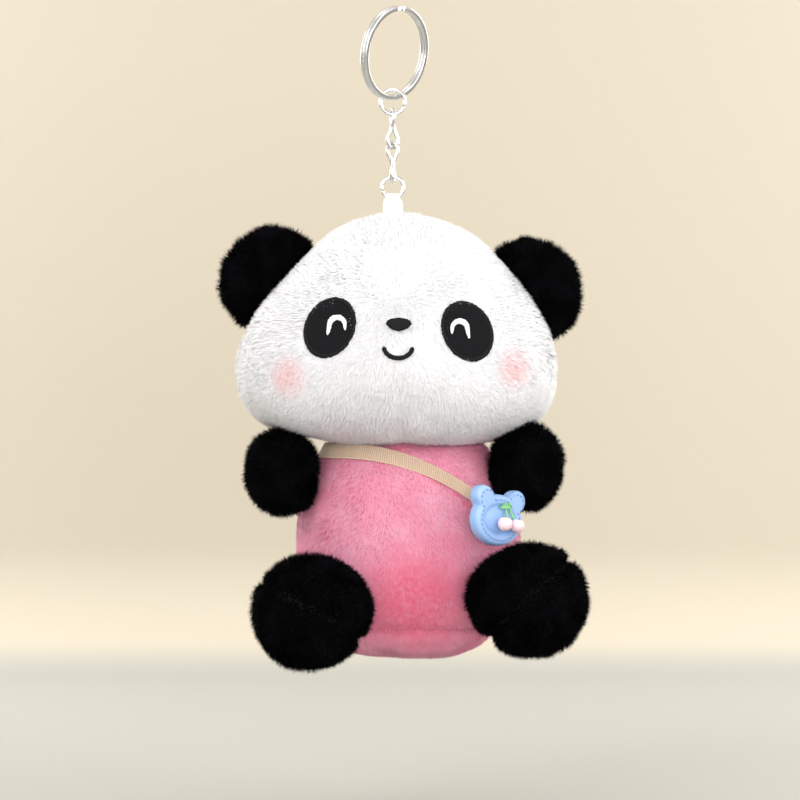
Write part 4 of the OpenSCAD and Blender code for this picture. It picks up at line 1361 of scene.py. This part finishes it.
def bag_dashes():
    """Moulded stitches that run round just inside the rim, in darker blue as painted shade of their grooves.
    """
    rows = [[], [], [], []]
    around = np.linspace(0, 2 * math.pi, 721)
    line = np.array([(bag_reach(a) * math.cos(a), bag_reach(a) * math.sin(a)) for a in around])
    run = np.concatenate([[0], np.cumsum(np.linalg.norm(np.diff(line, axis=0), axis=1))])
    for s in np.arange(0, run[-1] - 1 * MM, 1.55 * MM):
        a = np.interp(s, run, around)
        e = 0.02
        spots = []
        for b in (a - e, a, a + e):
            reach = bag_reach(b) - 1.5 * MM
            spots.append(on_bag(reach * math.cos(b), reach * math.sin(b), 3.64 * MM))
        stitch(rows, spots[1], spots[2] - spots[0], bag_out, 0.8 * MM)
    return lay_threads("bag_dashes", *rows, 0.26 * MM, dash_shade_blue)


def bead(centre, r):
    """A slightly flattened bead with a dimple where its stem goes in."""
    steps, rings = 28, 16
    verts = []
    for i in range(rings + 1):
        b = math.pi * i / rings
        dimple = 1 - 0.28 * math.exp(-(b / 0.42) ** 2)
        for j in range(steps):
            a = 2 * math.pi * j / steps
            q = np.array([math.sin(b) * math.cos(a), math.cos(b) * dimple, math.sin(b) * math.sin(a) * 0.96])
            verts.append(centre + r * (bag_right * q[0] + bag_up * q[1] + bag_out * q[2]))
    return verts, ring_faces(rings + 1, steps)


cherry_low = cad_points("bag_cherries")
cherry_v = (cherry_low @ bag_up).min() + 2.0 * MM - bag_base @ bag_up
cherry_w = (cherry_low @ bag_out).min() + 2.0 * MM - bag_base @ bag_out
CHERRY_SIDE = 2.3 * MM
cherry_u = cherry_low @ bag_right
cherry_u = (cherry_u.min() + cherry_u.max()) / 2 - bag_base @ bag_right
verts, faces = [], []
for side in (-1, 1):
    v, f = bead(on_bag(cherry_u + side * CHERRY_SIDE, cherry_v, cherry_w), 2.0 * MM)
    faces += [tuple(k + len(verts) for k in q) for q in f]
    verts += v
cherries = tidy_normals(new_object("cherry_beads", verts, faces, cherry_pink))


def stems_and_leaf():
    pieces_v, pieces_f = [], []

    def tube(points, radii, sides=10):
        points = [np.array(q) for q in points]
        base = len(pieces_v)
        for i, (q, r) in enumerate(zip(points, radii)):
            t = points[min(i + 1, len(points) - 1)] - points[max(i - 1, 0)]
            t /= np.linalg.norm(t)
            s = np.cross(t, bag_out)
            s /= np.linalg.norm(s)
            o = np.cross(t, s)
            for k in range(sides):
                a = 2 * math.pi * k / sides
                pieces_v.append(q + r * (math.cos(a) * s + math.sin(a) * o))
        pieces_f.extend(ring_faces(len(points), sides, base) + end_caps(len(points), sides, base))

    top = (cherry_u - 0.2 * MM, 3.6 * MM)
    for side in (-1, 1):
        start = top[0] + side * 0.8 * MM
        foot = (cherry_u + side * CHERRY_SIDE * 0.55, cherry_v + 1.5 * MM)
        way = []
        for k in np.linspace(0, 1, 9):
            u = start + (foot[0] - start) * k ** 1.6
            v = top[1] + (foot[1] - top[1]) * k
            w = 3.9 * MM + (cherry_w - 3.9 * MM) * k ** 2
            way.append(on_bag(u, v, w))
        tube(way, [0.42 * MM] + [0.32 * MM] * 7 + [0.38 * MM])
    base = len(pieces_v)
    rows, cols = 11, 7
    for i in range(rows):
        k = i / (rows - 1)
        half = 0.8 * MM * math.sin(math.pi * min(1, k * 0.96 + 0.02)) ** 0.75 + 0.02 * MM
        for j in range(cols):
            s = j / (cols - 1) * 2 - 1
            fold = 0.35 * MM * abs(s) + 0.25 * MM * math.sin(math.pi * k)
            v = 3.6 * MM - half * s + 0.7 * MM * math.sin(math.pi * k) - 0.5 * MM * k
            pieces_v.append(on_bag(top[0] + 1.2 * MM - k * 4.4 * MM, v, 3.95 * MM + fold))
    under = len(pieces_v)
    for q in list(pieces_v[base:under]):
        pieces_v.append(q - bag_out * 0.3 * MM)
    for i in range(rows - 1):
        for j in range(cols - 1):
            a, b, c, d = (i * cols + j, i * cols + j + 1, (i + 1) * cols + j + 1, (i + 1) * cols + j)
            pieces_f.append(tuple(base + q for q in (a, b, c, d)))
            pieces_f.append(tuple(under + q for q in (d, c, b, a)))
    rim_way = list(range(cols)) + [i * cols + cols - 1 for i in range(1, rows)]
    rim_way += [(rows - 1) * cols + j for j in range(cols - 2, -1, -1)]
    rim_way += [i * cols for i in range(rows - 2, 0, -1)]
    for k in range(len(rim_way)):
        a, b = rim_way[k], rim_way[(k + 1) % len(rim_way)]
        pieces_f.append((base + a, under + a, under + b, base + b))
    return tidy_normals(new_object("cherry_stem", pieces_v, pieces_f, leaf_green))


stem = stems_and_leaf()
moulding, cushion, dashes = bag_body(), bag_panel(), bag_dashes()
for o, node, s in ((moulding, "bag_shell", "bag_blue"), (cushion, "bag_face", "bag_blue"),
                   (dashes, None, "bag_blue"), (cherries, "bag_cherries", "cherry_pink"),
                   (stem, "bag_stem", "leaf_green")):
    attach(o, "panda")
    if node:
        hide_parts(node)

for o in (FIBRE, THREAD_SHAPE):
    bpy.data.objects.remove(o)

# -------------------------------------------------------------------- studio
FLOOR_Z = -0.205
VIEW_FAR = 0.8               # camera's distance from the ring
VIEW_SPAN = 0.216            # width that the camera sees at the ring
TOY_MIDDLE = (0, 0, -0.1)    # where the lights point


def studio():
    verts, faces = [], []
    half, front, back, rise, bend = 2.5, -2.0, 0.45, 2.2, 0.05
    path = [(front, FLOOR_Z), (back - bend, FLOOR_Z)]
    path += [(back - bend + bend * math.sin(a), FLOOR_Z + bend - bend * math.cos(a))
             for a in np.linspace(0.1, math.pi / 2, 14)]
    path += [(back, FLOOR_Z + rise)]
    for y, z in path:
        verts += [(-half, y, z), (half, y, z)]
    for i in range(len(path) - 1):
        faces.append((2 * i, 2 * i + 1, 2 * i + 3, 2 * i + 2))
    m, tree, shader = material("pale_backdrop", Roughness=0.9)
    tone = noise_value(tree, 3.0, 2.0)
    wall = mix_colours(tree, tone, (0.53, 0.475, 0.38, 1), (0.542, 0.486, 0.39, 1))
    spot = add(tree, "ShaderNodeSeparateXYZ")
    tree.links.new(add(tree, "ShaderNodeTexCoord").outputs["Object"], spot.inputs[0])
    bend_levels = {"From Min": FLOOR_Z + 0.001, "From Max": FLOOR_Z + 0.012}
    upright = ranged(tree, spot.outputs["Z"], bend_levels, smooth=True)
    tree.links.new(mix_colours(tree, upright, (0.40, 0.395, 0.36, 1), wall), shader.inputs["Base Color"])
    behind = add(tree, "ShaderNodeMixShader")
    tree.links.new(add(tree, "ShaderNodeNewGeometry").outputs["Backfacing"], behind.inputs[0])
    tree.links.new(shader.outputs[0], behind.inputs[1])
    tree.links.new(add(tree, "ShaderNodeBsdfTransparent").outputs[0], behind.inputs[2])
    out = next(n for n in tree.nodes if n.type == "OUTPUT_MATERIAL")
    tree.links.new(behind.outputs[0], out.inputs["Surface"])
    new_object("backdrop", verts, faces, m)


def softbox(name, at, size, power):
    lamp = bpy.data.lights.new(name, "AREA")
    lamp.size, lamp.energy = size, power
    o = bpy.data.objects.new(name, lamp)
    bpy.context.scene.collection.objects.link(o)
    o.location = at
    o.rotation_euler = (Vector(TOY_MIDDLE) - Vector(at)).to_track_quat("-Z", "Y").to_euler()


studio()
softbox("key_light", (-0.5, -0.8, 0.45), 0.6, 4.0)
softbox("fill_light", (0.75, -0.5, 0.15), 0.6, 2.7)
softbox("low_light", (0.1, -0.75, -0.16), 0.4, 4.2)
softbox("top_light", (0.0, 0.1, 0.7), 0.5, 1.4)
for side, word in ((1, "left"), (-1, "right")):
    softbox("back_light_" + word, (side * 0.42, 0.38, 0.1), 0.35, 2.4)
world = bpy.data.worlds.new("studio")
world.use_nodes = True
world.node_tree.nodes["Background"].inputs["Color"].default_value = (1.0, 0.98, 0.95, 1)
world.node_tree.nodes["Background"].inputs["Strength"].default_value = 0.96
bpy.context.scene.world = world
bpy.context.scene.view_settings.view_transform = "Standard"

lens = bpy.data.cameras.new("view")
lens.sensor_width = 36.0
lens.lens = 36.0 * VIEW_FAR / VIEW_SPAN
lens.clip_start, lens.clip_end = 0.05, 10
camera = bpy.data.objects.new("view", lens)
bpy.context.scene.collection.objects.link(camera)
camera.location = (0.0014, -VIEW_FAR, -0.0937)
camera.rotation_euler = (math.pi / 2, 0, 0)
bpy.context.scene.camera = camera
